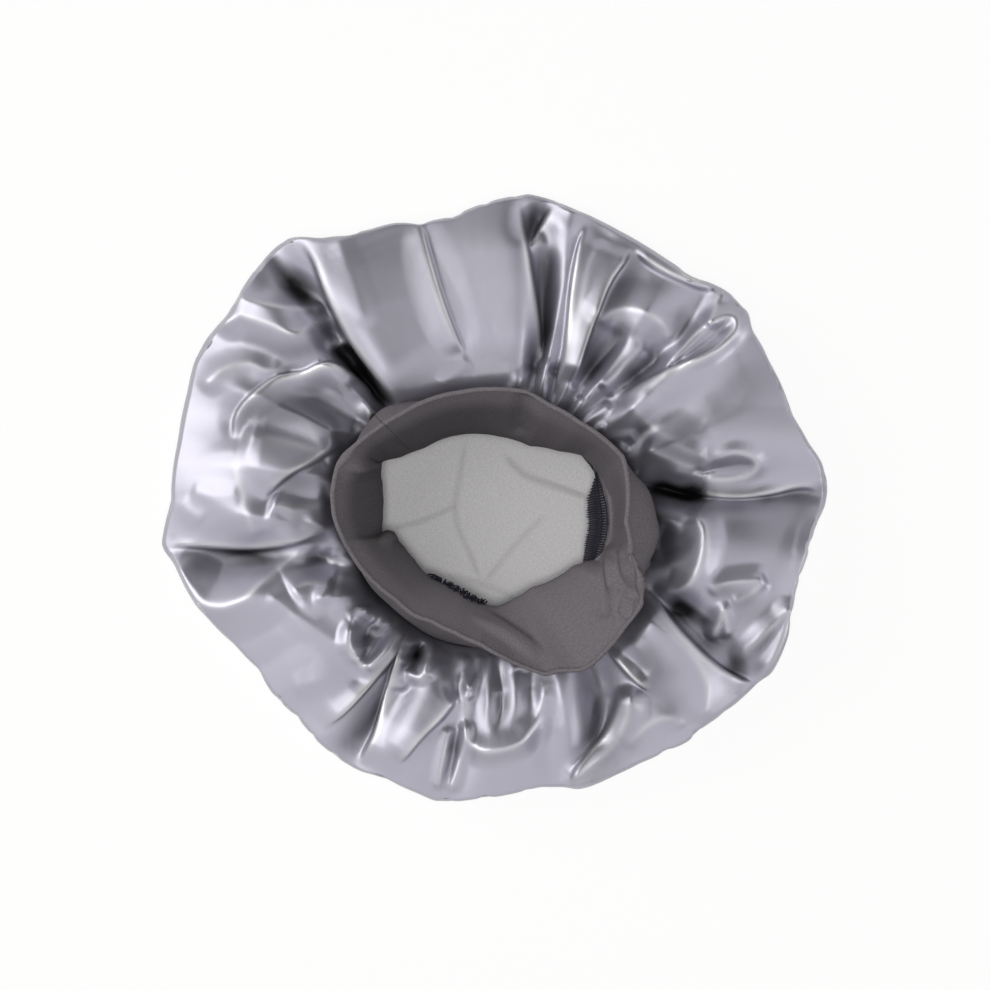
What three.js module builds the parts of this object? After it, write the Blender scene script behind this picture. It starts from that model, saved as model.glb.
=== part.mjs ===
// A satin sleep bonnet, lying crown down on a flat surface with its opening up.
//
// One circle of satin is gathered into a wide knitted band. The band is one strip,
// folded double along its free edge, with its two ends joined into a ring. Satin and
// band are held together by a four-thread overlock over their raw edges.
//
// Lengths are in millimetres and angles in degrees. +Z is up, and the origin is on the
// surface, under the middle of the satin's outline. Angles go round the band's middle,
// from +X towards +Y.
import * as THREE from "three";
import { LoftGeometry } from "three/addons/geometries/LoftGeometry.js";

// Satin crown
const crownLength = 340; // overall, along X
const crownWidth = 310; // overall, along Y
const puffHeight = 50; // top of the puffed satin above the surface
const turnHeight = 13; // height of the outline, where the satin turns under
const satinThickness = 0.8; // satin with the loft of its small ripples

// Knitted band
const bandOffsetX = -2; // the band's middle from the outline's middle
const bandOffsetY = -16;
const bandRadius = 76; // mean radius of the relaxed ring
const bandHeight = 74; // highest point of the folded edge
const knitThickness = 0.9; // one ply of the knit
const plySpace = 2; // between the two plies, for the joining thread
const throatRise = 6; // height of the inner ply's bulge above the seam
const joinGap = 0.3; // between the strip's two ends

// Seam between satin and band
const seamHeight = 24; // of the needle line above the surface
const seamAllowance = 8; // from the needle line to the raw edges
const threadDiameter = 0.5;
const threadEndGap = 3; // between a thread's two ends
const stitchPitch = 8; // along the seam, one looper zigzag
const satinTurn = 1.5; // below the needle line, where the satin leaves the band
const needleSetback = 2.5; // first needle row from the seam's edge
const needleSpacing = 2.5; // between the two needle rows
const joinStitchWidth = 3; // of the thread that joins the band's ends
const joinStitchPitch = 5;
const joinStitchTrim = 14; // clear of the seam, where the two plies meet
const clearance = 0.3; // between pieces that lie on each other
const threadClearance = 0.6; // between a thread and what it lies on

// How finely the curved surfaces are cut
const aroundSteps = 84; // round the satin and the band
const wallSteps = 3; // up either ply of the band
const threadSides = 3;

const halfLength = crownLength / 2;
const halfWidth = crownWidth / 2;
const threadRadius = threadDiameter / 2;

// The outline seen from above, as shares of half the length and half the width.
const outlineShares = [
  [1.0, 0.02], [0.98, 0.12], [0.9, 0.26], [0.86, 0.38], [0.81, 0.48], [0.76, 0.61],
  [0.68, 0.69], [0.59, 0.73], [0.45, 0.83], [0.3, 0.92], [0.2, 0.97], [0.09, 1.0],
  [-0.02, 0.97], [-0.13, 0.92], [-0.22, 0.9], [-0.37, 0.88], [-0.52, 0.85], [-0.61, 0.86],
  [-0.71, 0.76], [-0.8, 0.6], [-0.86, 0.53], [-0.92, 0.35], [-0.95, 0.18], [-0.97, -0.01],
  [-1.0, -0.16], [-0.93, -0.29], [-0.9, -0.35], [-0.78, -0.48], [-0.66, -0.65], [-0.59, -0.72],
  [-0.52, -0.81], [-0.45, -0.87], [-0.31, -0.93], [-0.23, -0.97], [-0.13, -1.0], [0.06, -0.97],
  [0.14, -0.95], [0.21, -0.95], [0.25, -0.96], [0.37, -0.91], [0.52, -0.83], [0.63, -0.75],
  [0.71, -0.69], [0.83, -0.58], [0.88, -0.45], [0.89, -0.39], [0.9, -0.31], [0.94, -0.18],
  [0.99, -0.04],
];

// The valleys between the puffs: angle at the band, angle at the outline, half width in
// degrees, and the share of the puff that is pressed in at the band and at the outline.
const valleyShares = [
  { band: 17, outline: 6, width: 7, bandShare: 0.85, outlineShare: 0.7 },
  { band: 33, outline: 34, width: 5, bandShare: 0.5, outlineShare: 0 },
  { band: 49, outline: 46, width: 5, bandShare: 0.6, outlineShare: 0.35 },
  { band: 57, outline: 60, width: 4, bandShare: 0.6, outlineShare: 0 },
  { band: 65, outline: 71, width: 4, bandShare: 0.6, outlineShare: 0.2 },
  { band: 74, outline: 83, width: 5, bandShare: 0.6, outlineShare: 0.6 },
  { band: 126, outline: 124, width: 5, bandShare: 0.8, outlineShare: 0.6 },
  { band: 139, outline: 147, width: 6, bandShare: 0.5, outlineShare: 0.3 },
  { band: 153, outline: 159, width: 6, bandShare: 0.5, outlineShare: 0.3 },
  { band: 170, outline: 174, width: 6, bandShare: 0.5, outlineShare: 0 },
  { band: 192, outline: 183, width: 8, bandShare: 0.8, outlineShare: 0.8 },
  { band: 226, outline: 228, width: 6, bandShare: 0.7, outlineShare: 0 },
  { band: 241, outline: 239, width: 5, bandShare: 0.6, outlineShare: 0.4 },
  { band: 264, outline: 261, width: 5, bandShare: 0.6, outlineShare: 0.3 },
  { band: 287, outline: 283, width: 5, bandShare: 0.6, outlineShare: 0.2 },
  { band: 315, outline: 294, width: 7, bandShare: 0.8, outlineShare: 0.6 },
  { band: 345, outline: 325, width: 7, bandShare: 0.7, outlineShare: 0.5 },
];

// The band's shape round the ring. Radii are shares of the band's radius: of the needle
// line, of the inner ply's bulge and of the folded edge, and how far the outer ply
// stands out. The edge's height is a share of the band's height. The turn is the angle
// by which the raw edges point below the horizontal, inwards: past 90 they point out.
const bandShares = [
  { angle: 0, seam: 0.75, throat: 0.8, edge: 0.9, height: 1.0, bulge: 0.2, turn: 20 },
  { angle: 14, seam: 0.77, throat: 0.82, edge: 0.94, height: 1.0, bulge: 0.16, turn: 25 },
  { angle: 29, seam: 0.81, throat: 0.84, edge: 0.99, height: 1.0, bulge: 0.05, turn: 48 },
  { angle: 40, seam: 0.82, throat: 0.78, edge: 0.94, height: 0.99, bulge: 0.02, turn: 68 },
  { angle: 51, seam: 0.8, throat: 0.69, edge: 0.9, height: 0.98, bulge: 0.02, turn: 85 },
  { angle: 65, seam: 0.79, throat: 0.62, edge: 0.9, height: 0.96, bulge: 0.02, turn: 100 },
  { angle: 88, seam: 0.79, throat: 0.62, edge: 0.92, height: 0.95, bulge: 0.02, turn: 100 },
  { angle: 115, seam: 0.81, throat: 0.68, edge: 0.93, height: 0.95, bulge: 0.03, turn: 100 },
  { angle: 140, seam: 0.82, throat: 0.77, edge: 1.0, height: 0.97, bulge: 0.05, turn: 100 },
  { angle: 150, seam: 0.83, throat: 0.81, edge: 1.07, height: 0.97, bulge: 0.02, turn: 100 },
  { angle: 166, seam: 0.83, throat: 0.75, edge: 1.06, height: 0.97, bulge: 0.02, turn: 100 },
  { angle: 180, seam: 0.83, throat: 0.72, edge: 0.98, height: 0.96, bulge: 0.02, turn: 100 },
  { angle: 189, seam: 0.83, throat: 0.62, edge: 0.93, height: 0.88, bulge: 0.02, turn: 100 },
  { angle: 205, seam: 0.83, throat: 0.53, edge: 0.83, height: 0.8, bulge: 0.04, turn: 95 },
  { angle: 222, seam: 0.84, throat: 0.5, edge: 0.77, height: 0.74, bulge: 0.05, turn: 90 },
  { angle: 240, seam: 0.84, throat: 0.48, edge: 0.72, height: 0.72, bulge: 0.05, turn: 90 },
  { angle: 255, seam: 0.82, throat: 0.48, edge: 0.73, height: 0.74, bulge: 0.04, turn: 95 },
  { angle: 272, seam: 0.76, throat: 0.5, edge: 0.82, height: 0.78, bulge: 0.02, turn: 100 },
  { angle: 288, seam: 0.68, throat: 0.5, edge: 0.97, height: 0.72, bulge: 0.0, turn: 100 },
  { angle: 303, seam: 0.64, throat: 0.5, edge: 1.08, height: 0.68, bulge: 0.0, turn: 100 },
  { angle: 325, seam: 0.7, throat: 0.57, edge: 1.08, height: 0.78, bulge: 0.0, turn: 80 },
  { angle: 337, seam: 0.76, throat: 0.72, edge: 1.08, height: 0.86, bulge: 0.02, turn: 60 },
  { angle: 349, seam: 0.75, throat: 0.79, edge: 0.94, height: 0.96, bulge: 0.14, turn: 38 },
];
const joinAngle = 135; // where the strip's two ends meet
const foldTurns = [120, 60]; // of the points that lead over the folded edge

// Where rows of points lie: shares of the way from the seam to the outline on top, and
// of the drop from the outline to the flat underneath.
const topShares = [0.07, 0.17, 0.3, 0.44, 0.58, 0.72, 0.85, 0.95];
const turnShares = [0, 0.35, 0.75, 1];
const puffPeakShare = 0.62; // where the puff is highest, from seam to outline
const turnDepthShare = 0.06; // how far in the turn reaches, of the outline's radius

const radians = THREE.MathUtils.degToRad;
const lerp = THREE.MathUtils.lerp;
const smooth = (share) => THREE.MathUtils.smoothstep(share, 0, 1);
const wrapped = (angle) => THREE.MathUtils.euclideanModulo(angle, 360);

// One column of a table that goes round the band, eased between its rows.
function aroundTable(table, column, angle, ease) {
  const at = wrapped(angle);
  const found = table.findIndex((row) => row.angle > at);
  const next = found < 0 ? 0 : found;
  const after = table[next];
  const before = table[(next + table.length - 1) % table.length];
  const span = wrapped(after.angle - before.angle);
  return lerp(before[column], after[column], ease(wrapped(at - before.angle) / span));
}

const roundTheBand = (column, angle) => aroundTable(bandShares, column, angle, smooth);

// A point so far from the middle of a plane, in a direction given in degrees.
const spoke = (turn, length) =>
  new THREE.Vector2(Math.cos(radians(turn)), Math.sin(radians(turn))).multiplyScalar(length);

// A point of a radial section (radius, height), placed round the band's middle.
function place(angle, point) {
  const turn = radians(angle);
  return new THREE.Vector3(
    bandOffsetX + point.x * Math.cos(turn),
    bandOffsetY + point.x * Math.sin(turn),
    point.y,
  );
}

// The seam's own directions in a radial section: down the raw edges, and across the
// plies towards the band's inner ply.
function seamFrame(angle) {
  const turn = radians(roundTheBand("turn", angle));
  return {
    needleLine: new THREE.Vector2(bandRadius * roundTheBand("seam", angle), seamHeight),
    along: new THREE.Vector2(-Math.cos(turn), -Math.sin(turn)),
    across: new THREE.Vector2(-Math.sin(turn), Math.cos(turn)),
  };
}

// A point of the seam: how far down the raw edges, and how far across from the middle
// of the outer ply.
function seamPoint(angle, down, over) {
  const { needleLine, along, across } = seamFrame(angle);
  return needleLine.clone().addScaledVector(along, down).addScaledVector(across, over);
}

// The outline at every step round the band, stretched to the full length and width.
function outlineStations() {
  const corners = outlineShares
    .map(([x, y]) => {
      const fromBand = new THREE.Vector2(x * halfLength - bandOffsetX, y * halfWidth - bandOffsetY);
      return { angle: THREE.MathUtils.radToDeg(fromBand.angle()), radius: fromBand.length() };
    })
    .sort((one, other) => one.angle - other.angle);
  const stations = Array.from({ length: aroundSteps }, (_, step) => {
    const angle = joinAngle + (360 * step) / aroundSteps;
    const radius = aroundTable(corners, "radius", angle, (share) => share);
    return { angle, point: place(angle, new THREE.Vector2(radius, turnHeight)) };
  });
  const reach = new THREE.Box3().setFromPoints(stations.map(({ point }) => point));
  for (const { point } of stations) {
    point.x = lerp(-halfLength, halfLength, (point.x - reach.min.x) / (reach.max.x - reach.min.x));
    point.y = lerp(-halfWidth, halfWidth, (point.y - reach.min.y) / (reach.max.y - reach.min.y));
  }
  return stations;
}

// How much of the puff the valleys press in, from none at 0 to all at 1.
function pressedIn(angle, share) {
  return valleyShares.reduce((most, valley) => {
    const middle = lerp(valley.band, valley.outline, share);
    const away = wrapped(angle - middle + 180) - 180;
    const depth = lerp(valley.bandShare, valley.outlineShare, share);
    return Math.max(most, depth * Math.exp(-((away / valley.width) ** 2)));
  }, 0);
}

// Height of the satin on its way from the seam, at 0, to the outline, at 1.
function puffAt(angle, share) {
  const pressed = pressedIn(angle, share);
  if (share < puffPeakShare) {
    const swell = smooth(share / puffPeakShare);
    return lerp(seamHeight, puffHeight, swell * (1 - pressed * swell));
  }
  const swell = Math.sqrt(1 - ((share - puffPeakShare) / (1 - puffPeakShare)) ** 2);
  return lerp(turnHeight, lerp(puffHeight, seamHeight, pressed), swell);
}

// The satin's outer face as rows of points, from the raw edge over the top and round the
// outline to the flat underneath.
function satinFace() {
  const stations = outlineStations();
  const toSatin = -(knitThickness / 2 + clearance);
  const rows = [seamAllowance, seamAllowance / 2, satinTurn].map((down) =>
    stations.map(({ angle }) => place(angle, seamPoint(angle, down, toSatin))),
  );
  const seamRow = rows[rows.length - 1];
  for (const share of topShares) {
    rows.push(
      stations.map(({ point, angle }, index) => {
        const across = new THREE.Vector3().lerpVectors(seamRow[index], point, share);
        return across.setZ(puffAt(angle, share));
      }),
    );
  }
  for (const share of turnShares) {
    const inwards = 1 - turnDepthShare * (1 - Math.sqrt(1 - share ** 2));
    const height = turnHeight * (1 - share);
    rows.push(stations.map(({ point }) => point.clone().multiplyScalar(inwards).setZ(height)));
  }
  return rows;
}

// The same rows, moved off the face by the satin's thickness, into the bonnet.
function satinBack(face) {
  const columns = face[0].length;
  return face.map((row, r) =>
    row.map((point, c) => {
      const down = face[Math.min(r + 1, face.length - 1)][c].clone();
      down.sub(face[Math.max(r - 1, 0)][c]);
      const round = row[(c + 1) % columns].clone().sub(row[(c + columns - 1) % columns]);
      const outwards = down.cross(round).normalize();
      return point.clone().addScaledVector(outwards, -satinThickness);
    }),
  );
}

// The gathered circle of satin, as one shell with its opening at the seam.
function satinCrown() {
  const face = satinFace();
  const back = satinBack(face);
  for (const point of back[back.length - 1]) point.z = satinThickness;
  const middleAt = (height) => face[0].map(() => new THREE.Vector3(0, 0, height));
  return new LoftGeometry([middleAt(0), ...face.reverse(), ...back, middleAt(satinThickness)]);
}

// Middle line of the knit in a radial section: up the inner ply, over the folded edge
// and down the outer ply, both ending at the raw edges.
function bandLine(angle) {
  const edgeRadius = bandRadius * roundTheBand("edge", angle);
  const edgeHeight = bandHeight * roundTheBand("height", angle);
  const foldRadius = (plySpace + knitThickness) / 2;
  const fold = new THREE.Vector2(edgeRadius, edgeHeight - foldRadius - knitThickness / 2);
  const toInner = knitThickness + clearance;
  const seamInner = seamPoint(angle, 0, toInner);
  const seamOuter = seamPoint(angle, 0, 0);
  const throat = new THREE.Vector2(
    bandRadius * roundTheBand("throat", angle),
    seamHeight + throatRise,
  );
  const edgeInner = new THREE.Vector2(fold.x - foldRadius, fold.y);
  const edgeOuter = new THREE.Vector2(fold.x + foldRadius, fold.y);
  const belly = seamOuter.clone().lerp(edgeOuter, 0.5);
  belly.x += bandRadius * roundTheBand("bulge", angle);
  const innerWall = new THREE.SplineCurve([seamInner, throat, edgeInner]).getPoints(wallSteps);
  const outerWall = new THREE.SplineCurve([edgeOuter, belly, seamOuter]).getPoints(wallSteps);
  const overEdge = foldTurns.map((turn) => fold.clone().add(spoke(turn, foldRadius)));
  return [
    seamPoint(angle, seamAllowance, toInner),
    seamPoint(angle, seamAllowance / 2, toInner),
    ...innerWall,
    ...overEdge,
    ...outerWall,
    seamPoint(angle, seamAllowance / 2, 0),
    seamPoint(angle, seamAllowance, 0),
  ];
}

// The line that runs beside another one in a plane, so far to its left.
function beside(line, distance) {
  return line.map((point, index) => {
    const before = line[Math.max(index - 1, 0)];
    const after = line[Math.min(index + 1, line.length - 1)];
    const along = after.clone().sub(before).normalize();
    return new THREE.Vector2(-along.y, along.x).multiplyScalar(distance).add(point);
  });
}

// A closed outline round a line in a plane, half the thickness away on either side.
const thickened = (line, thickness) => [
  ...beside(line, thickness / 2),
  ...beside(line, -thickness / 2).reverse(),
];

// The band: one folded strip, swept once round from one of its ends to the other.
function knitBand() {
  const endAngle = THREE.MathUtils.radToDeg(joinGap / 2 / bandRadius);
  const sections = Array.from({ length: aroundSteps + 1 }, (_, step) => {
    const turn = THREE.MathUtils.clamp((360 * step) / aroundSteps, endAngle, 360 - endAngle);
    const angle = joinAngle + turn;
    return thickened(bandLine(angle), knitThickness).map((point) => place(angle, point));
  });
  return new LoftGeometry(sections, { capStart: true, capEnd: true });
}

// A round thread along a smooth path through a list of points.
function threadAlong(points) {
  const corners = Array.from({ length: threadSides }, (_, side) =>
    spoke((360 * side) / threadSides, threadRadius),
  );
  return new THREE.ExtrudeGeometry(new THREE.Shape(corners), {
    steps: points.length - 1,
    bevelEnabled: false,
    extrudePath: new THREE.CatmullRomCurve3(points),
  });
}

// A thread that runs once round the seam, weaving between two depths from its edge.
function seamThread(steps, over, depthAt) {
  const endAngle = THREE.MathUtils.radToDeg(threadEndGap / 2 / bandRadius);
  const points = Array.from({ length: steps + 1 }, (_, step) => {
    const angle = joinAngle + lerp(endAngle, 360 - endAngle, step / steps);
    return place(angle, seamPoint(angle, depthAt(step), over));
  });
  return threadAlong(points);
}

// A needle's or the gathering thread: straight round, at one depth.
const straightThread = (down, over) => seamThread(aroundSteps, over, () => down);

// A looper thread: to and fro between the needle line and the raw edges.
function looperThread(over, phase) {
  const around = 2 * Math.PI * bandRadius * bandShares[0].seam;
  const steps = Math.round(around / stitchPitch) * 4;
  const middle = (needleSetback + seamAllowance) / 2;
  const sway = (seamAllowance - needleSetback) / 2;
  return seamThread(steps, over, (step) => middle + sway * Math.sin(radians(90 * step + phase)));
}

// The thread that joins the strip's two ends, zigzagging across them between the plies:
// up the inner ply, across under the fold and down the outer ply.
function joinThread() {
  const line = bandLine(joinAngle).slice(1, -1);
  const inset = knitThickness / 2 + threadClearance + threadRadius;
  const inside = beside(line, -inset);
  const path = new THREE.CurvePath();
  for (let index = 1; index < inside.length; index += 1) {
    path.add(new THREE.LineCurve(inside[index - 1], inside[index]));
  }
  const steps = Math.round(path.getLength() / joinStitchPitch);
  const trim = joinStitchTrim / path.getLength();
  const points = Array.from({ length: steps + 1 }, (_, step) => {
    const point = path.getPointAt(lerp(trim, 1 - trim, step / steps));
    const sway = ((step % 2 ? 1 : -1) * joinStitchWidth) / 2;
    return place(joinAngle + THREE.MathUtils.radToDeg(sway / point.x), point);
  });
  return threadAlong(points);
}

const satin = () =>
  new THREE.MeshStandardMaterial({ color: 0xa9a7b0, roughness: 0.28, metalness: 0.1 });
const knit = () =>
  new THREE.MeshStandardMaterial({ color: 0x5f5a5b, roughness: 0.95, metalness: 0 });
const overlockThread = () =>
  new THREE.MeshStandardMaterial({ color: 0x14141c, roughness: 0.8, metalness: 0 });
const greyThread = () =>
  new THREE.MeshStandardMaterial({ color: 0x6a6668, roughness: 0.8, metalness: 0 });

const bonnet = new THREE.Group();

function addPiece(name, geometry, material) {
  const mesh = new THREE.Mesh(geometry, material);
  mesh.name = name;
  bonnet.add(mesh);
}

// Offsets across the seam of what lies on either face of the three plies.
const aboveBand = knitThickness * 1.5 + clearance + threadClearance + threadRadius;
const belowSatin = -(knitThickness / 2 + clearance + satinThickness + threadClearance + threadRadius);
const layer = threadDiameter + threadClearance;

addPiece("satin_crown", satinCrown(), satin());
addPiece("knit_band", knitBand(), knit());
addPiece("band_join_thread", joinThread(), greyThread());
addPiece("gathering_thread", straightThread(seamAllowance / 2, belowSatin), greyThread());
addPiece("overlock_upper_looper", looperThread(aboveBand, 0), overlockThread());
addPiece("overlock_lower_looper", looperThread(belowSatin - layer, 180), overlockThread());
addPiece(
  "overlock_left_needle",
  straightThread(needleSetback, aboveBand + layer),
  overlockThread(),
);
addPiece(
  "overlock_right_needle",
  straightThread(needleSetback + needleSpacing, aboveBand + layer),
  overlockThread(),
);

export default bonnet;
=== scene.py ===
# The looks of a satin sleep bonnet that lies crown down with its opening up.
#
# Lengths are millimetres until a mesh is made, and angles are degrees. Fold lines are
# pixel coordinates of the photograph, which is 990 by 990 and taken from straight above.
import math
import random

import bpy
import numpy as np
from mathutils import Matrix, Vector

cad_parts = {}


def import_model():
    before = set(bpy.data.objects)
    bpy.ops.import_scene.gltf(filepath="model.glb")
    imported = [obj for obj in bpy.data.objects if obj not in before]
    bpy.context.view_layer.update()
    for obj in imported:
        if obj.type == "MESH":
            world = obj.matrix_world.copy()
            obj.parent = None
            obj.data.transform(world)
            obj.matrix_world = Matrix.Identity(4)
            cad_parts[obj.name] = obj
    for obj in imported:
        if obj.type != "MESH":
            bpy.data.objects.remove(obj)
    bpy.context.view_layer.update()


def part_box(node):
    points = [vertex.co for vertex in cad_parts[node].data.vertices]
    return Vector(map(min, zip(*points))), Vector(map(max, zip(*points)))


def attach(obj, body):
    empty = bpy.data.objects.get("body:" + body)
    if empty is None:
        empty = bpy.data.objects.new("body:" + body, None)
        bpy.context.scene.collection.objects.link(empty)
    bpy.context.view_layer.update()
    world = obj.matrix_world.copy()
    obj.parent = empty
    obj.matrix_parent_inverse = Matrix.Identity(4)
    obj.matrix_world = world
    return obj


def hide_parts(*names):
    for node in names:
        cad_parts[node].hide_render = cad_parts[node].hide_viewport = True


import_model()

MM = 0.001


def box_of(node):
    """The lowest and the highest corner of a CAD node, in millimetres."""
    return [np.array(corner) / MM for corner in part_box(node)]


crown_low, crown_high = box_of("satin_crown")
band_high = box_of("knit_band")[1]

# Satin crown. At the turn height its side meets the outline. The powers shape the swell
# of its puffs, the slope of its panels and the edges of its valleys.
HALF_LENGTH = (crown_high[0] - crown_low[0]) / 2
HALF_WIDTH = (crown_high[1] - crown_low[1]) / 2
PUFF_HEIGHT_SHARE = 0.9
PUFF_HEIGHT = PUFF_HEIGHT_SHARE * crown_high[2]
TURN_HEIGHT = 13.0
SATIN_THICKNESS = 0.35
PUFF_SWELL_POWER = 1.8
PANEL_SLOPE_POWER = 1.3
VALLEY_POWER = 4
TURN_DEPTH_SHARE = 0.05
TUCK_SHARE = 0.07
ROUNDING_SHARE = 0.012
SIDE_FOLD_SHARE = 0.045
SATIN_TURN = 1.5
SEAM_FADE_SHARE = 0.05
EDGE_FADE_SHARE = 0.04

# Knitted band
BAND_MIDDLE = np.array([-2.0, -16.0])
BAND_RADIUS = 76.0
BAND_HEIGHT = band_high[2]
KNIT_THICKNESS = 0.9
PLY_SPACE = 0.7
THROAT_RISE = 6.0
STRIP_LENGTH = 510.0
JOIN_ANGLE = 135.0
JOIN_GAP = 0.04
JOIN_GROOVE = 0.6
JOIN_GROOVE_WIDTH = 1.3
JOIN_GROOVE_ROWS = (38, 50)
JOIN_GROOVE_EASE_ROWS = 3
FREE_EASE_ROWS = 5

# Seam between satin and band. Threads lie so far above the middle of the band's outer
# ply, or below it under the satin.
SEAM_HEIGHT = 24.0
SEAM_ALLOWANCE = 11.0
NEEDLE_SETBACK = 0.8
NEEDLE_SPACING = 3.0
CLEARANCE = 0.3
THREAD_RADIUS = 0.3
THREAD_CLEARANCE = 0.1
THREAD_END_GAP = 3.0
THREAD_SIDES = 6
ABOVE_BAND = 1.5 * KNIT_THICKNESS + CLEARANCE + THREAD_CLEARANCE + THREAD_RADIUS
BELOW_SATIN = -(KNIT_THICKNESS / 2 + CLEARANCE + SATIN_THICKNESS + THREAD_CLEARANCE + THREAD_RADIUS)
THREAD_LAYER = 2 * THREAD_RADIUS + THREAD_CLEARANCE
UPPER_PITCH = 1.4
LOWER_PITCH = 2.8
STITCH_PITCH = 2.8
STITCH_SWAY = 0.25
LOOP_STEPS = 10
LOOP_OVERSHOOTS = (-0.8, 1.6)
JOIN_STITCH_WIDTH = 3.0
JOIN_STITCH_PITCH = 2.5
JOIN_STITCH_TRIM = 14.0
UPRIGHT_SHARE = 0.05
TAIL_STRANDS = 4
TAIL_ANGLES = (217.0, 266.0)
TAIL_STEPS = 260
TAIL_RISE_ROWS = -1.0
TAIL_SWING_ROWS = 8.0
TAIL_SWINGS = (9, 14)
TAIL_SWAY_ANGLE = 1.6
TAIL_SWAY_RADIANS = 4.6
TAIL_FLAT_SHARE = 0.35
TAIL_SWELL_POWER = 1.7

# Photograph and camera. A pixel's size is the one at the turn height.
CENTRE_PIXEL = 495.0
ORIGIN_PIXEL = (494.5, 498.0)
PIXEL_SIZE = 0.5113
CAMERA_DISTANCE = 1550.0
SENSOR_WIDTH = 36.0
CAMERA_CLIP_END = 20.0
CAMERA_X = (CENTRE_PIXEL - ORIGIN_PIXEL[0]) * PIXEL_SIZE
CAMERA_Y = (ORIGIN_PIXEL[1] - CENTRE_PIXEL) * PIXEL_SIZE

# The outline seen from above, as shares of half the length and half the width.
OUTLINE_SHARES = [
    (1.00, 0.02), (1.00, 0.06), (0.98, 0.12), (0.94, 0.18), (0.90, 0.26), (0.86, 0.38),
    (0.81, 0.48), (0.77, 0.55), (0.76, 0.61), (0.72, 0.66), (0.68, 0.69), (0.59, 0.73),
    (0.52, 0.78), (0.45, 0.83), (0.37, 0.88), (0.30, 0.92), (0.20, 0.97), (0.14, 0.99),
    (0.09, 1.00), (0.06, 0.99), (-0.02, 0.97), (-0.13, 0.92), (-0.22, 0.90), (-0.30, 0.90),
    (-0.37, 0.88), (-0.45, 0.86), (-0.52, 0.85), (-0.61, 0.86), (-0.66, 0.82), (-0.71, 0.76),
    (-0.77, 0.66), (-0.80, 0.60), (-0.86, 0.53), (-0.90, 0.45), (-0.92, 0.35), (-0.95, 0.18),
    (-0.97, -0.01), (-1.00, -0.16), (-0.96, -0.22), (-0.93, -0.29), (-0.90, -0.35),
    (-0.85, -0.41), (-0.78, -0.48), (-0.71, -0.56), (-0.66, -0.65), (-0.59, -0.72),
    (-0.52, -0.81), (-0.45, -0.87), (-0.40, -0.90), (-0.31, -0.93), (-0.23, -0.97),
    (-0.17, -1.00), (-0.13, -1.00), (-0.06, -0.99), (0.06, -0.97), (0.14, -0.95),
    (0.21, -0.95), (0.25, -0.96), (0.29, -0.95), (0.37, -0.91), (0.44, -0.87), (0.52, -0.83),
    (0.58, -0.80), (0.63, -0.75), (0.71, -0.69), (0.78, -0.62), (0.83, -0.58), (0.86, -0.51),
    (0.88, -0.45), (0.89, -0.39), (0.90, -0.31), (0.92, -0.24), (0.94, -0.18), (0.96, -0.10),
    (0.99, -0.04),
]

# The valleys between the puffs: angle at the band, angle at the outline, half width in
# degrees, and the share of the puff that is pressed in at the band and at the outline.
VALLEY_SHARES = [
    (17, 6, 7, 0.85, 0.7), (33, 34, 5, 0.5, 0.0), (49, 46, 5, 0.6, 0.35), (57, 60, 4, 0.6, 0.0),
    (65, 71, 4, 0.6, 0.2), (73, 81, 3.5, 0.6, 0.5), (130, 128, 4, 0.8, 0.6),
    (139, 147, 6, 0.5, 0.3), (153, 159, 6, 0.5, 0.3), (170, 174, 6, 0.5, 0.0),
    (192, 183, 8, 0.8, 0.8), (226, 228, 6, 0.7, 0.0), (241, 239, 5, 0.6, 0.4),
    (264, 261, 5, 0.6, 0.3), (287, 283, 5, 0.6, 0.2), (315, 294, 7, 0.8, 0.6),
    (345, 325, 7, 0.7, 0.5),
]

# The band's shape round the ring: angle, then the needle line's and the outer ply's bulge
# as shares of the band's radius, the folded edge's height as a share of the band's height,
# and the angle by which the raw edges point below the horizontal.
BAND_SHARES = np.array([
    (0, 0.80, 0.26, 1.00, 20), (14, 0.81, 0.20, 1.00, 22), (22, 0.83, 0.10, 1.00, 60),
    (30, 0.83, 0.05, 1.00, 100), (40, 0.82, 0.02, 0.99, 100), (51, 0.80, 0.02, 0.98, 100),
    (65, 0.79, 0.02, 0.96, 100), (88, 0.79, 0.02, 0.95, 100), (115, 0.81, 0.04, 0.95, 100),
    (131, 0.81, 0.17, 0.97, 100), (142, 0.86, 0.12, 0.97, 100), (149, 0.96, 0.02, 0.97, 100),
    (156, 0.86, 0.02, 0.97, 100), (166, 0.83, 0.02, 0.97, 100), (180, 0.83, 0.02, 0.96, 100),
    (189, 0.83, 0.02, 0.88, 100), (205, 0.83, 0.04, 0.80, 95), (222, 0.82, 0.02, 0.74, 90),
    (240, 0.81, 0.01, 0.72, 90), (255, 0.79, 0.01, 0.74, 95), (272, 0.76, 0.02, 0.78, 100),
    (288, 0.68, 0.00, 0.72, 100), (303, 0.64, 0.00, 0.68, 100), (325, 0.70, 0.00, 0.78, 80),
    (337, 0.76, 0.02, 0.86, 60), (349, 0.78, 0.20, 0.96, 30),
])
SEAM, BULGE, HEIGHT, TURN = range(1, 5)

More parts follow.
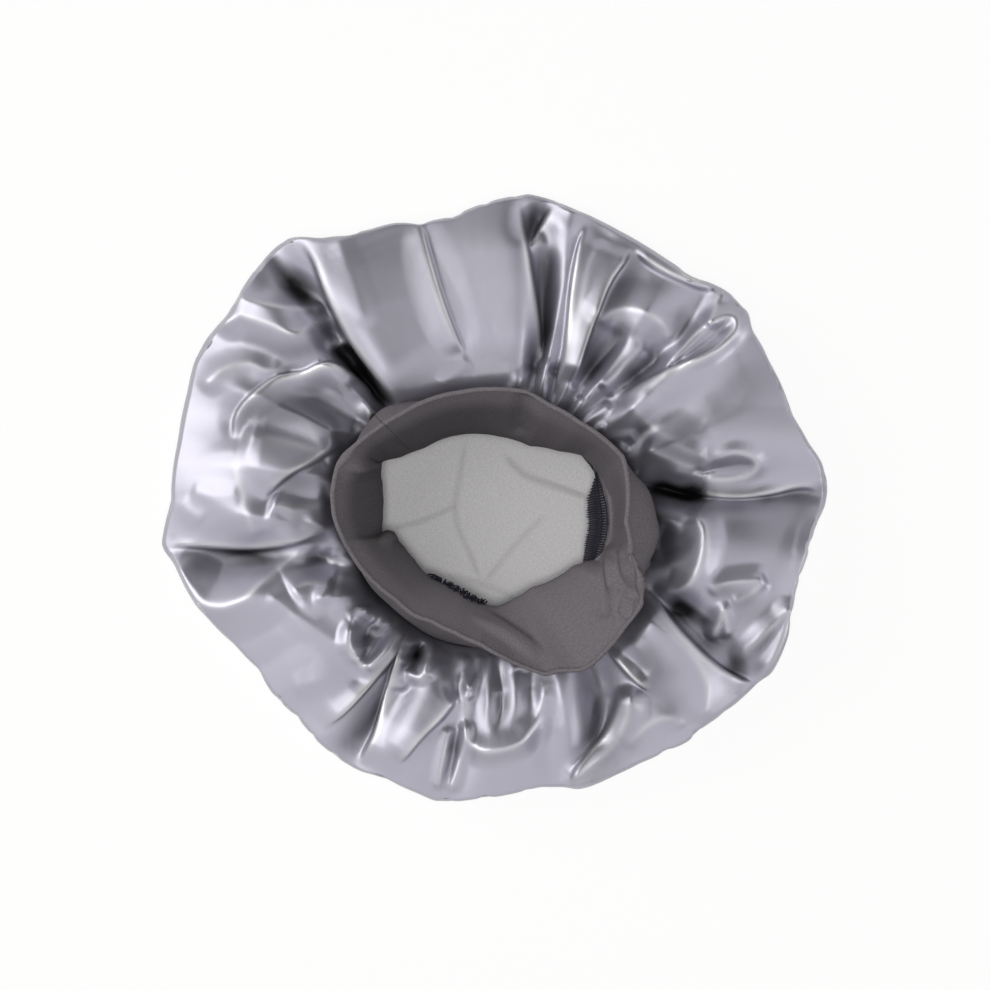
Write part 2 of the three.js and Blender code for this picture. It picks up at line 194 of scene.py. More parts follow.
# The band's two edges as the photograph shows them: angle round the band's middle and
# share of the band's radius at the height of the outline.
RIM_SHARES = np.array([
    (4, 0.93), (29, 1.03), (39, 0.99), (51, 0.95), (65, 0.94), (76, 0.97), (88, 0.96),
    (102, 0.96), (115, 0.98), (128, 1.00), (141, 1.05), (150, 1.10), (157, 1.13), (166, 1.11),
    (175, 1.07), (189, 0.97), (197, 0.92), (205, 0.87), (216, 0.81), (228, 0.79), (237, 0.75),
    (251, 0.75), (265, 0.79), (276, 0.88), (285, 0.98), (291, 1.06), (296, 1.07), (303, 1.14),
    (307, 1.15), (313, 1.14), (325, 1.13), (334, 1.15), (342, 1.07), (350, 0.98),
])
THROAT_SHARES = np.array([
    (5, 0.85), (16, 0.86), (22, 0.85), (39, 0.80), (49, 0.70), (65, 0.62), (85, 0.63), (97, 0.65),
    (117, 0.69), (129, 0.71), (141, 0.78), (149, 0.88), (157, 0.80), (165, 0.755), (174, 0.735),
    (183, 0.74), (184.5, 0.64), (192, 0.59), (202, 0.55), (218, 0.52), (230, 0.48), (246, 0.47),
    (261, 0.50), (275, 0.52), (289, 0.50), (306, 0.50), (325, 0.57), (336, 0.62), (347, 0.76),
    (354, 0.83),
])

# The satin's folds in the photograph: kind, height, width and line. A lip is a sharp step:
# it is high on the right of its line as one follows it, and its width is how far that
# side takes to come down again.
SATIN_FOLDS = [
    # Top panel
    ("lip", 7.0, 46.0, [(410, 418), (377, 376), (351, 341), (329, 298), (315, 263), (297, 236)]),
    ("crease", 1.2, 4.0, [(336, 232), (346, 258), (358, 293), (368, 330)]),
    ("lip", 3.0, 12.0, [(419, 218), (438, 286), (452, 326), (466, 358)]),
    ("crease", 1.0, 3.0, [(470, 358), (455, 372), (440, 388)]),
    ("lip", 5.0, 46.0, [(519, 195), (527, 251), (537, 312), (541, 350), (541, 378)]),
    # Upper left
    ("ridge", 5.0, 4.5, [(218, 303), (238, 298), (262, 305), (290, 308), (328, 309)]),
    ("ridge", 6.5, 6.0, [(212, 332), (238, 317), (249, 319), (273, 326), (296, 333), (315, 324),
                         (338, 316)]),
    ("ridge", 2.5, 2.5, [(325, 344), (354, 343)]),
    ("ridge", 3.5, 4.5, [(200, 392), (218, 373), (235, 365), (251, 363), (268, 370), (290, 368)]),
    ("lip", 6.0, 10.0, [(233, 444), (237, 416), (251, 397), (277, 378), (303, 373), (320, 365),
                        (336, 365), (353, 376), (369, 390), (379, 408)]),
    ("ridge", 7.0, 11.0, [(240, 432), (262, 438), (290, 444), (318, 450), (346, 448)]),
    ("ridge", 4.0, 3.0, [(345, 372), (362, 392), (370, 415), (365, 440)]),
    ("valley", 10.0, 4.0, [(346, 366), (362, 388), (380, 414)]),
    # Left
    ("lip", 5.0, 18.0, [(344, 443), (315, 461), (292, 473), (273, 489), (264, 502)]),
    ("ridge", 5.0, 8.0, [(268, 500), (296, 508), (330, 506)]),
    ("valley", 4.0, 4.0, [(270, 508), (290, 520), (318, 528)]),
    ("ridge", 2.0, 12.0, [(231, 436), (236, 463), (241, 491), (250, 520), (256, 545)]),
    ("crease", 1.2, 4.0, [(242, 494), (216, 495), (190, 490)]),
    ("crease", 1.0, 3.5, [(178, 500), (190, 512), (204, 522)]),
    ("lip", 3.5, 36.0, [(330, 532), (296, 543), (256, 549), (221, 548), (185, 546), (160, 549)]),
    ("ridge", 8.0, 9.0, [(160, 553), (178, 566), (192, 586), (204, 602), (220, 606), (233, 603),
                         (249, 595), (263, 582), (282, 567), (303, 553), (324, 541)]),
    ("ridge", 4.0, 9.0, [(288, 594), (310, 583), (336, 588)]),
    ("crease", 1.6, 4.0, [(266, 590), (296, 615), (325, 636), (351, 652)]),
    ("ridge", 6.0, 3.5, [(350, 616), (351, 648), (360, 662), (369, 664), (381, 655), (396, 638),
                         (410, 622)]),
    ("valley", 7.0, 5.0, [(374, 610), (367, 632), (367, 650)]),
    ("ridge", 3.0, 2.5, [(365, 604), (366, 614), (374, 624)]),
    # Lower left
    ("crease", 1.0, 4.0, [(290, 689), (325, 680), (360, 672)]),
    ("lip", 5.0, 24.0, [(412, 636), (388, 664), (351, 706), (322, 731)]),
    ("lip", 6.0, 24.0, [(357, 764), (374, 735), (386, 695), (400, 652), (412, 624)]),
    ("ridge", 5.0, 2.5, [(404, 668), (419, 676), (426, 666), (431, 652), (432, 636)]),
    ("valley", 6.0, 4.0, [(417, 638), (416, 664)]),
    ("valley", 4.0, 4.0, [(464, 656), (460, 684), (454, 706)]),
    ("lip", 4.5, 14.0, [(460, 694), (443, 716), (421, 738), (398, 766)]),
    ("valley", 3.5, 1.8, [(443, 794), (452, 757), (461, 716)]),
    ("ridge", 3.5, 2.5, [(450, 795), (459, 758), (468, 718)]),
    ("ridge", 3.5, 2.5, [(436, 792), (444, 757), (452, 724)]),
    ("ridge", 6.0, 4.0, [(477, 660), (468, 690), (465, 718), (468, 737), (480, 749), (499, 749),
                         (520, 742), (531, 730), (539, 714), (542, 690), (537, 668)]),
    ("valley", 6.0, 3.0, [(494, 650), (500, 680), (502, 706), (494, 738)]),
    # Bottom
    ("lip", 5.0, 14.0, [(652, 694), (631, 676), (606, 648)]),
    ("ridge", 6.0, 5.0, [(631, 680), (628, 712), (613, 742), (595, 760), (579, 777), (582, 792)]),
    ("lip", 6.0, 16.0, [(577, 790), (574, 775), (590, 752), (607, 730), (618, 704), (620, 684)]),
    ("lip", 7.0, 26.0, [(645, 586), (669, 619), (692, 645), (716, 666), (737, 678), (757, 684)]),
    ("valley", 4.0, 3.0, [(608, 640), (622, 652), (640, 668), (655, 690)]),
    ("ridge", 6.0, 9.0, [(636, 610), (664, 630), (683, 646), (699, 666), (706, 685), (704, 707),
                         (695, 728)]),
    ("ridge", 3.0, 5.0, [(622, 748), (650, 723), (673, 718), (683, 732)]),
    # Lower right
    ("ridge", 6.0, 5.0, [(690, 506), (703, 530), (700, 562), (688, 584), (670, 592), (655, 582)]),
    ("valley", 7.0, 7.0, [(668, 518), (662, 544), (668, 568)]),
    ("crease", 1.5, 5.0, [(706, 494), (708, 534), (706, 572), (699, 605), (695, 634)]),
    ("ridge", 3.5, 3.5, [(707, 594), (722, 584), (745, 580), (768, 576)]),
    ("ridge", 3.0, 3.0, [(768, 578), (752, 592), (730, 604)]),
    ("ridge", 4.0, 3.0, [(709, 642), (717, 626), (724, 612), (727, 640)]),
    ("ridge", 4.5, 3.5, [(728, 662), (751, 645), (773, 624), (787, 612), (784, 632), (773, 657),
                         (756, 680)]),
    ("ridge", 3.5, 6.0, [(824, 504), (820, 518), (806, 553), (796, 591), (787, 624)]),
    # Right
    ("lip", 4.5, 36.0, [(828, 500), (812, 489), (794, 488), (773, 493), (740, 497), (706, 495),
                        (676, 487), (650, 472)]),
    ("valley", 9.0, 4.0, [(638, 480), (660, 488), (684, 494), (712, 498)]),
    ("ridge", 5.0, 6.0, [(640, 448), (665, 458), (690, 467), (712, 468)]),
    ("ridge", 3.5, 3.0, [(700, 470), (716, 459), (735, 453), (752, 458), (756, 468), (744, 477),
                         (718, 480), (690, 476), (655, 468)]),
    ("lip", 5.0, 26.0, [(616, 400), (640, 385), (669, 370), (704, 356), (730, 338)]),
    ("ridge", 2.5, 7.0, [(622, 398), (650, 425), (680, 445), (709, 461)]),
    # Upper right
    ("ridge", 5.0, 3.0, [(655, 376), (681, 350), (706, 326), (725, 316), (735, 319), (735, 331),
                         (721, 345), (700, 357), (672, 368)]),
    ("ridge", 4.0, 3.5, [(706, 328), (716, 305), (725, 290)]),
    ("ridge", 5.0, 7.0, [(596, 330), (606, 316), (622, 309), (645, 312), (664, 329), (676, 347)]),
    ("ridge", 4.0, 5.0, [(600, 392), (628, 366), (650, 347)]),
    ("valley", 6.0, 5.0, [(576, 388), (603, 360), (622, 338), (640, 326)]),
    ("valley", 5.0, 4.0, [(622, 388), (648, 366), (668, 350)]),
    ("valley", 5.0, 6.0, [(536, 200), (533, 222), (529, 246)]),
    ("lip", 4.0, 16.0, [(527, 256), (539, 229), (555, 203)]),
    ("lip", 5.0, 18.0, [(552, 396), (563, 360), (567, 331), (571, 293), (577, 255), (586, 222)]),
    ("ridge", 3.0, 5.0, [(607, 236), (590, 268), (580, 312), (574, 345), (562, 384)]),
    ("lip", 6.0, 18.0, [(634, 248), (611, 280), (597, 312), (585, 345), (574, 384)]),
    ("lip", 4.0, 16.0, [(716, 293), (681, 280), (655, 267), (631, 249)]),
]

# The puff's profile from the band to the outline: angle, share of the way at which it has
# risen, share at which it starts to slope, share of its height that the slope takes, share
# at which it turns down, and share of the full height.
PANEL_SHARES = np.array([
    (0, 0.42, 0.60, 0.16, 0.97, 1.0), (40, 0.30, 0.60, 0.16, 0.97, 1.0),
    (60, 0.26, 0.60, 0.20, 0.97, 0.9), (80, 0.17, 0.60, 0.12, 0.975, 0.92),
    (120, 0.17, 0.60, 0.12, 0.975, 0.92), (134, 0.26, 0.55, 0.40, 0.97, 0.95),
    (150, 0.26, 0.55, 0.55, 0.97, 1.0), (195, 0.26, 0.55, 0.55, 0.97, 1.0),
    (215, 0.26, 0.55, 0.45, 0.97, 1.0), (250, 0.30, 0.60, 0.30, 0.97, 0.95),
    (290, 0.50, 0.60, 0.25, 0.97, 0.95), (325, 0.50, 0.60, 0.20, 0.97, 1.0),
    (345, 0.42, 0.60, 0.20, 0.97, 1.0),
])
RISEN, SHOULDER, SLOPED, TURNS, RAISED = range(1, 6)

# How dark the painted shade makes the satin where it goes under the band: angle and share.
GAP_SHADE_SHARES = np.array([
    (0, 0.8), (20, 0.9), (40, 0.6), (72, 0.5), (84, 0.0), (126, 0.0), (134, 0.9), (150, 0.7),
    (180, 0.75), (200, 0.95), (230, 0.7), (250, 0.45), (275, 0.3), (295, 0.1), (320, 0.15),
    (335, 0.5), (345, 0.8),
])
GAP_SHADE_WIDTH = 6.0

# How much painted highlight the edges of the folds get, by kind of fold, and its width.
GLINT_SHARES = {"lip": 0.6, "ridge": 0.3}
GLINT_WIDTH = 1.6
GLINT_REACH = 4 * GLINT_WIDTH

# Painted shade on facets that lie in the shade of the folds beside them: share, half width, line.
SHADED_FACETS = [
    (0.55, 11.0, [(256, 418), (290, 410), (322, 416), (350, 430)]),
    (0.35, 6.0, [(250, 345), (285, 352), (325, 345)]),
    (0.35, 7.0, [(290, 482), (330, 474)]),
    (0.30, 6.0, [(300, 520), (330, 525)]),
    (0.40, 7.0, [(200, 566), (232, 566), (268, 556)]),
    (0.40, 6.0, [(342, 586), (362, 604)]),
    (0.45, 6.0, [(398, 655), (372, 690), (348, 742)]),
    (0.30, 6.0, [(440, 664), (432, 700)]),
    (0.30, 14.0, [(612, 690), (600, 740)]),
    (0.35, 7.0, [(636, 640), (652, 672)]),
    (0.35, 7.0, [(746, 668), (770, 640)]),
    (0.45, 8.0, [(668, 525), (668, 560)]),
    (0.30, 5.0, [(722, 590), (745, 596)]),
    (0.55, 6.0, [(636, 434), (662, 448), (700, 462)]),
    (0.30, 4.0, [(722, 466), (748, 467)]),
    (0.45, 6.0, [(636, 262), (608, 302), (588, 350)]),
    (0.45, 4.5, [(534, 204), (530, 236)]),
    (0.40, 5.0, [(528, 370), (548, 330)]),
    (0.30, 9.0, [(490, 684), (504, 724)]),
    (0.30, 8.0, [(652, 690), (672, 704)]),
    (0.20, 7.0, [(412, 696), (424, 730)]),
    (0.20, 8.0, [(736, 496), (742, 536)]),
    (0.20, 8.0, [(742, 614), (776, 616)]),
    (0.20, 5.0, [(574, 292), (580, 326)]),
    (0.20, 8.0, [(296, 482), (302, 536)]),
    (0.20, 7.0, [(648, 650), (668, 672)]),
]

# Painted shade in the pockets between the folds: the depth at which it is fully dark, and
# the slope and the steps round the band within which neighbours close the pockets in.
POCKET_DEPTH = 10.0
POCKET_SLOPE = 0.3
POCKET_REACH_STEPS = 18
# How dark the painted shade along the storage creases of the flat is, for each millimetre they lift
# it.
CREASE_SHADE = 0.4

# How dark the painted shade makes the inner ply where it lies in its own shade: angle and
# share, then the rows it covers.
SHADE_SHARES = np.array([
    (0, 0.05), (40, 0.12), (62, 0.32), (95, 0.48), (130, 0.47), (180, 0.44), (205, 0.3), (235, 0.05),
    (260, 0.0), (330, 0.0),
])
SHADE_ROWS = 55
SHADE_EASE_ROWS = 8

# Folds of the band in the photograph, written as the satin's are.
BAND_FOLDS = [
    ("valley", 2.4, 1.3, [(466, 612), (500, 632), (524, 648), (548, 666)]),
    ("valley", 2.1, 1.3, [(474, 608), (505, 627), (530, 644), (552, 663)]),
    ("crease", 2.2, 3.6, [(526, 392), (522, 415), (519, 436)]),
    ("valley", 6.0, 4.0, [(336, 469), (360, 465), (384, 459)]),
    ("valley", 3.0, 2.4, [(378, 535), (398, 541)]),
    ("ridge", 2.7, 2.9, [(598, 550), (600, 575), (602, 600), (604, 622)]),
    ("valley", 5.2, 2.2, [(611, 545), (612, 570), (615, 590), (619, 602)]),
    ("ridge", 3.3, 2.3, [(617, 548), (617, 565), (621, 585), (626, 604), (622, 622)]),
    ("valley", 3.6, 1.9, [(623, 540), (625, 565), (627, 592)]),
    ("ridge", 2.4, 2.3, [(632, 550), (633, 580), (634, 604)]),
    ("valley", 2.2, 1.9, [(640, 560), (640, 600)]),
    ("valley", 2.7, 2.2, [(606, 470), (609, 505), (608, 540)]),
]

# Creases that storage left in the flat of the crown, seen through the opening.
STORAGE_CREASES = [
    ("crease", 0.7, 0.6, [(466, 436), (461, 470), (455, 515), (470, 555), (482, 584)]),
    ("crease", 0.6, 0.6, [(458, 505), (420, 522), (392, 528)]),
    ("crease", 0.6, 0.6, [(482, 584), (515, 545), (548, 512)]),
    ("crease", 0.9, 0.8, [(500, 452), (518, 470), (530, 478), (570, 492), (592, 500)]),
    ("crease", 0.6, 0.6, [(440, 572), (482, 584), (520, 600)]),
]

# Where small pleats show at the band: first and last angle, height and length. Each pleat
# draws its own length and height as shares of these, its width, and the angle to the next.
GATHERS = [
    (10, 45, 2.0, 22.0), (48, 84, 3.2, 28.0), (84, 126, 0.5, 10.0), (126, 180, 2.0, 20.0),
    (180, 205, 2.4, 22.0), (205, 270, 3.0, 32.0), (270, 300, 1.6, 24.0), (300, 350, 2.4, 26.0),
    (350, 368, 2.0, 20.0),
]
GATHER_LENGTH_SHARES = (0.5, 1.0)
GATHER_HEIGHT_SHARES = (0.6, 1.0)
GATHER_WIDTHS = (1.6, 2.6)
GATHER_SPACINGS = (5.5, 9.5)
GATHER_SWAYS = (-6, 6)
GATHER_START = 4.0
GATHER_CLIMB = 14.0
GATHER_BEND_SHARE = 0.4

# Waves that make the cloth uneven: how many in a turn, height and phase. The side's are
# shares of its soft folds, and the grooves wander by radians.
SIDE_WAVE_SHARES = [(5, 0.25, 1.0), (11, 0.15, 2.4), (23, 0.1, 0.0)]
GROOVES_AROUND = 17
GROOVE_WANDERS = [(3, 2.6, 0.7), (8, 1.4, 0.0)]
GROOVE_POWER = 2.5

# Waves of the cloth where it lies loose: heights and lengths.
LOOSE_RISE = 0.6
LONG_WAVE_RISE = 0.35
LONG_WAVE = 13.0
LONG_WAVE_BEND = 1.3
LONG_WAVE_BEND_LENGTH = 21.0
SHORT_WAVE_RISE = 0.25
SHORT_WAVE = 9.0
SHORT_WAVE_SLANT = 24.0

# The section of a fold. A lip has a sharp edge, a foot in front of it and a long fall
# behind, and leans over. A crest is round between hollow flanks. Both taper and narrow
# towards the ends of their line.
LIP_EDGE = 1.3
LIP_FOOT_SHARE = 0.35
LIP_LEAN_SHARE = 0.35
LIP_LEAN_REACH = 3 * LIP_EDGE
LIP_FALL_SHARE = 1.3
LIP_FALL_POWER = 1.25
CREST_RADIUS = 1.4
FLANK_SHARE = 2.2
FLANK_POWER = 1.4
FOLD_REACH_SHARE = 4.5
TAPER_SHARE = 0.14
VALLEY_TAPER_SHARE = 0.4
TAPER_WIDTH_SHARE = 0.6
NARROW_SHARE = 0.4
END_WIDTH_SHARE = 0.25
LINE_STEPS = 24

# How far tables that go round the band are eased over their corners, in degrees
EDGE_BLUR = 1.2
BAND_BLUR = 4.0
PUFF_BLUR = 8.0
BLUR_READINGS = 9
BLUR_FALL = math.pi / 2.4

# How finely the cloth is cut
AROUND_STEPS = 800
PANEL_STEPS = 76
DROP_STEPS = 34
TURN_STEPS = 10
FLAT_STEPS = 90
ALLOWANCE_STEPS = 4
BAND_AROUND_STEPS = 540
WALL_STEPS = 56
FOLD_STEPS = 7

# Looks: two colours for the grain, then the colours that the stored shares of painted highlight
# and painted shade go over to. A grain has a scale, a weave a scale and a distortion, both
# for lengths in metres, and a bump a depth in millimetres and a strength.
NOISE_DETAIL = 2.0
SATIN_COLOURS = [(0.395, 0.388, 0.462, 1.0), (0.45, 0.442, 0.515, 1.0)]
SATIN_PAINTED_GLINT = (0.82, 0.82, 0.82, 1.0)
SATIN_PAINTED_SHADE = (0.015, 0.014, 0.016, 1.0)
SATIN_METALLIC = 0.8
SATIN_ROUGHNESS = 0.42
SATIN_GRAIN = 25.0
SATIN_CRUMPLE = 60.0
SATIN_CRUMPLE_BUMP = (0.3, 0.5)
SATIN_WEAVE = (900.0, 1.0)
SATIN_WEAVE_BUMP = (0.02, 0.35)
REVERSE_COLOURS = [(0.40, 0.397, 0.425, 1.0), (0.64, 0.636, 0.67, 1.0)]
REVERSE_PAINTED_SHADE = (0.2, 0.195, 0.19, 1.0)
REVERSE_ROUGHNESS = 0.8
REVERSE_GRAIN = 900.0
REVERSE_WEAVE = (500.0, 0.6)
REVERSE_WEAVE_BUMP = (0.08, 0.6)
KNIT_COLOURS = [(0.1, 0.092, 0.105, 1.0), (0.21, 0.195, 0.215, 1.0)]
KNIT_PAINTED_SHADE = (0.015, 0.013, 0.015, 1.0)
KNIT_ROUGHNESS = 0.95
KNIT_SPECULAR = 0.08
KNIT_GRAIN = 800.0
KNIT_WALES = (300.0, 1.0)
KNIT_WALES_BUMP = (0.12, 0.6)
KNIT_COURSES = (600.0, 1.5)
KNIT_COURSES_BUMP = (0.08, 0.5)
BLACK_THREAD_COLOURS = [(0.006, 0.006, 0.012, 1.0), (0.016, 0.016, 0.028, 1.0)]
GREY_THREAD_COLOURS = [(0.12, 0.11, 0.115, 1.0), (0.19, 0.18, 0.185, 1.0)]
THREAD_ROUGHNESS = 0.85
THREAD_GRAIN = 3000.0
THREAD_BUMP = (0.1, 0.6)

# Floor, world, card and lamps, in metres and watts
FLOOR_SIZE = 12.0
FLOOR_GAP = 0.0003
FLOOR_COLOUR = (0.9, 0.9, 0.9, 1.0)
FLOOR_ROUGHNESS = 0.9
FLOOR_GLOW_SHARE = 0.9
WORLD_COLOUR = (0.9, 0.92, 1.0, 1.0)
WORLD_STRENGTH = 0.12
WHITE = (1.0, 1.0, 1.0, 1.0)
BACK_CARD = {"location": (0.15, 1.6, 1.9), "size": 2.7, "colour": (0.06, 0.06, 0.06, 1.0)}
LAMP_COLOUR = (1.0, 0.985, 0.93)
LAMPS = {
    "overhead_light": {"location": (0.0, -0.1, 2.0), "size": 0.5, "power": 25.0, "mirrored": False},
    "key_light": {"location": (-2.0, 0.6, 1.65), "size": 2.2, "power": 37.0, "mirrored": True},
    "right_light": {"location": (1.9, -0.5, 0.5), "size": 0.6, "power": 4.0, "mirrored": True},
}

draws = random.Random(7)


def ease(share):
    """From 0 to 1 with no corner at either end."""
    share = np.clip(share, 0, 1)
    return share * share * (3 - 2 * share)


def bell(away, width):
    """From 1 at no distance to almost 0 at twice the width."""
    return np.exp(-((away / width) ** 2))


def around(table, column, at, blur):
    """A column of a table that goes round the band and has its angles in its first column,
    read at many angles and eased over its corners."""
    offsets = np.linspace(-blur, blur, BLUR_READINGS)
    weights = np.cos(offsets / blur * BLUR_FALL)
    angles, values = table[np.argsort(table[:, 0])].T[[0, column]]
    read = [np.interp(at + offset, angles, values, period=360) for offset in offsets]
    return np.average(read, axis=0, weights=weights)


def smooth_line(points, steps=LINE_STEPS):
    """A Catmull-Rom curve through a few points."""
    points = np.array(points, float)
    before = 2 * points[0] - points[1]
    after = 2 * points[-1] - points[-2]
    ring = np.vstack([before, points, after])
    at = np.linspace(0, len(points) - 1, steps)
    first = np.minimum(at.astype(int), len(points) - 2)
    part = (at - first)[:, None]
    a, b, c, d = (ring[first + k] for k in range(4))
    return 0.5 * (
        2 * b
        + (c - a) * part
        + (2 * a - 5 * b + 4 * c - d) * part**2
        + (3 * b - a - 3 * c + d) * part**3
    )


def in_photo(points):
    """The pixel at which the photograph's camera sees each point."""
    spread = 1 / (1 - (points[:, 2] - TURN_HEIGHT) / CAMERA_DISTANCE) / PIXEL_SIZE
    across = CENTRE_PIXEL + (points[:, 0] - CAMERA_X) * spread
    down = CENTRE_PIXEL - (points[:, 1] - CAMERA_Y) * spread
    return np.column_stack([across, down])


def beside_line(places, line):
    """Distance from a line, above zero on its right, the line's direction there, and the
    share of the line's length at the nearest point."""
    nearest = np.full(len(places), np.inf)
    side = np.ones(len(places))
    along = np.zeros(len(places))
    heading = np.zeros((len(places), 2))
    walked = 0.0
    for start, end in zip(line[:-1], line[1:]):
        step = end - start
        length = np.hypot(*step)
        offset = places - start
        share = np.clip(offset @ step / length**2, 0, 1)
        gap = np.hypot(*(offset - share[:, None] * step).T)
        closer = gap < nearest
        turned = step[0] * offset[:, 1] - step[1] * offset[:, 0]
        nearest[closer] = gap[closer]
        side[closer] = np.where(turned[closer] > 0, 1.0, -1.0)
        along[closer] = walked + share[closer] * length
        heading[closer] = step / length
        walked += length
    return nearest * side, heading, along / walked


def crest(across, width):
    """A fold's section: a narrow round crest between two hollow flanks."""
    away = (np.hypot(across, CREST_RADIUS) - CREST_RADIUS) / (FLANK_SHARE * width)
    return np.clip(1 - away, 0, 1) ** FLANK_POWER


def near_line(places, line, reach):
    """Which places lie near enough to a line to be worth measuring."""
    return np.all((places > line.min(0) - reach) & (places < line.max(0) + reach), axis=1)


def fold_rise(places, folds):
    """How far the folds lift each place seen in the photograph, and how far they push it
    sideways, in millimetres."""
    rise = np.zeros(len(places))
    push = np.zeros((len(places), 2))
    for kind, height, width, points in folds:
        line = smooth_line(points)
        reach = FOLD_REACH_SHARE * width / PIXEL_SIZE
        near = near_line(places, line, reach)
        across, heading, along = beside_line(places[near], line)
        length = np.hypot(*np.diff(line, axis=0).T).sum() * PIXEL_SIZE
        shortest = VALLEY_TAPER_SHARE if kind == "valley" else TAPER_SHARE
        taper_share = np.clip(TAPER_WIDTH_SHARE * width / length, shortest, 0.5)
        taper = ease(along / taper_share) * ease((1 - along) / taper_share)
        taper *= np.clip(1 - (across / reach) ** 2, 0, 1)
        end = np.clip(np.minimum(along, 1 - along) / NARROW_SHARE, 0, 1)
        narrow = END_WIDTH_SHARE + (1 - END_WIDTH_SHARE) * np.sqrt(end * (2 - end))
        across *= PIXEL_SIZE
        if kind != "lip":
            lifted = height * crest(across, width * narrow) * taper
            rise[near] += -lifted if kind == "valley" else lifted
            continue
        high = 0.5 + 0.5 * np.tanh(across / LIP_EDGE)
        fall = np.clip(1 - np.abs(across) / (LIP_FALL_SHARE * width * narrow), 0, 1)
        fall = fall**LIP_FALL_POWER
        lifted = height * high * fall * taper
        foot = height * LIP_FOOT_SHARE * (1 - high) * fall
        rise[near] += lifted - foot * taper
        lean = LIP_LEAN_SHARE * lifted * bell(across, LIP_LEAN_REACH)
        right = np.column_stack([-heading[:, 1], -heading[:, 0]])
        push[near] -= right * lean[:, None]
    return rise, push


def band_table(column, angle):
    return around(BAND_SHARES, column, angle, BAND_BLUR)


def seen_radius(shares, angle, height):
    """The true radius of an edge at this height, from where the photograph shows it."""
    seen = BAND_RADIUS * around(shares, 1, angle, EDGE_BLUR)
    turn = np.radians(angle)
    offset = BAND_MIDDLE - [CAMERA_X, CAMERA_Y]
    nearer = 1 - (height - TURN_HEIGHT) / CAMERA_DISTANCE
    x = (offset[0] + seen * np.cos(turn)) * nearer - offset[0]
    y = (offset[1] + seen * np.sin(turn)) * nearer - offset[1]
    return np.hypot(x, y)


def place(angle, radius, height):
    """Points round the band's middle, from radial sections."""
    turn = np.radians(angle)
    return np.stack(
        [
            BAND_MIDDLE[0] + radius * np.cos(turn),
            BAND_MIDDLE[1] + radius * np.sin(turn),
            height * np.ones_like(turn),
        ],
        axis=-1,
    )


def seam_section(angle, down, over):
    """Radius and height of a point of the seam: how far down the raw edges, and how far
    across from the middle of the outer ply."""
    turn = np.radians(band_table(TURN, angle))
    radius = BAND_RADIUS * band_table(SEAM, angle)
    return (
        radius - down * np.cos(turn) - over * np.sin(turn),
        SEAM_HEIGHT - down * np.sin(turn) + over * np.cos(turn),
    )


def grid_mesh(name, grid, closed, slots, pole=None, caps=False):
    """A mesh from a grid of points in millimetres, row by row. A closed grid joins its
    last column to its first. A pole is one more point that closes its last row, and caps
    close its first and last rows with one face each."""
    rows, columns = grid.shape[:2]
    index = np.arange(rows * columns).reshape(rows, columns)
    if closed:
        index = np.column_stack([index, index[:, 0]])
    quads = np.stack([index[:-1, :-1], index[1:, :-1], index[1:, 1:], index[:-1, 1:]], axis=-1)
    faces = quads.reshape(-1, 4).tolist()
    points = grid.reshape(-1, 3)
    if pole is not None:
        faces += [(one, rows * columns, other) for one, other in zip(index[-1], index[-1, 1:])]
        points = np.vstack([points, pole])
    if caps:
        faces += [index[0, :-1][::-1].tolist(), index[-1, :-1].tolist()]
    mesh = bpy.data.meshes.new(name)
    mesh.from_pydata(points * MM, [], faces)
    mesh.polygons.foreach_set("use_smooth", np.ones(len(faces), bool))
    for slot in slots:
        mesh.materials.append(slot)
    piece = bpy.data.objects.new(name, mesh)
    bpy.context.scene.collection.objects.link(piece)
    return piece


def mark(piece, name, values):
    """Stores a point of the flat cut, in metres, with each vertex."""
    attribute = piece.data.attributes.new(name, "FLOAT_VECTOR", "POINT")
    attribute.data.foreach_set("vector", (values * MM).astype(np.float32).ravel())


def mark_share(piece, name, values):
    """Stores a share from 0 to 1 with each vertex."""
    attribute = piece.data.attributes.new(name, "FLOAT", "POINT")
    attribute.data.foreach_set("value", np.clip(values, 0, 1).astype(np.float32))


def apply_modifiers(piece):
    """Replaces a piece's mesh by the one its modifiers make."""
    graph = bpy.context.evaluated_depsgraph_get()
    finished = bpy.data.meshes.new_from_object(piece.evaluated_get(graph))
    piece.modifiers.clear()
    piece.data = finished


def thicken(piece, thickness, offset):
    solid = piece.modifiers.new("thickness", "SOLIDIFY")
    solid.thickness = thickness * MM
    solid.offset = offset
    solid.material_offset = 1
    solid.material_offset_rim = 1
    apply_modifiers(piece)


def state(piece, node=None):
    """Says what a piece rides on and which CAD node it shows."""
    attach(piece, "root")
    if node:
        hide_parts(node)


# Satin
def outline_points(angle):
    """The outline at each angle round the band's middle."""
    corners = np.array(OUTLINE_SHARES) * [HALF_LENGTH, HALF_WIDTH] - BAND_MIDDLE
    turns = np.degrees(np.arctan2(corners[:, 1], corners[:, 0])) % 360
    table = np.column_stack([turns, np.hypot(*corners.T)])
    radius = around(table, 1, angle, EDGE_BLUR)
    points = place(angle, radius, TURN_HEIGHT)
    for axis, half in enumerate([HALF_LENGTH, HALF_WIDTH]):
        low, high = points[:, axis].min(), points[:, axis].max()
        points[:, axis] = np.interp(points[:, axis], [low, high], [-half, half])
    return points


def pressed_in(angle, share):
    """How much of the puff the valleys press in, from none at 0 to all at 1."""
    total = np.zeros(np.broadcast(angle, share).shape)
    for band, outline, width, band_share, outline_share in VALLEY_SHARES:
        middle = band + (outline - band) * share
        away = (angle - middle + 180) % 360 - 180
        depth = band_share + (outline_share - band_share) * share
        total += (depth * bell(away, width)) ** VALLEY_POWER
    return total ** (1 / VALLEY_POWER)


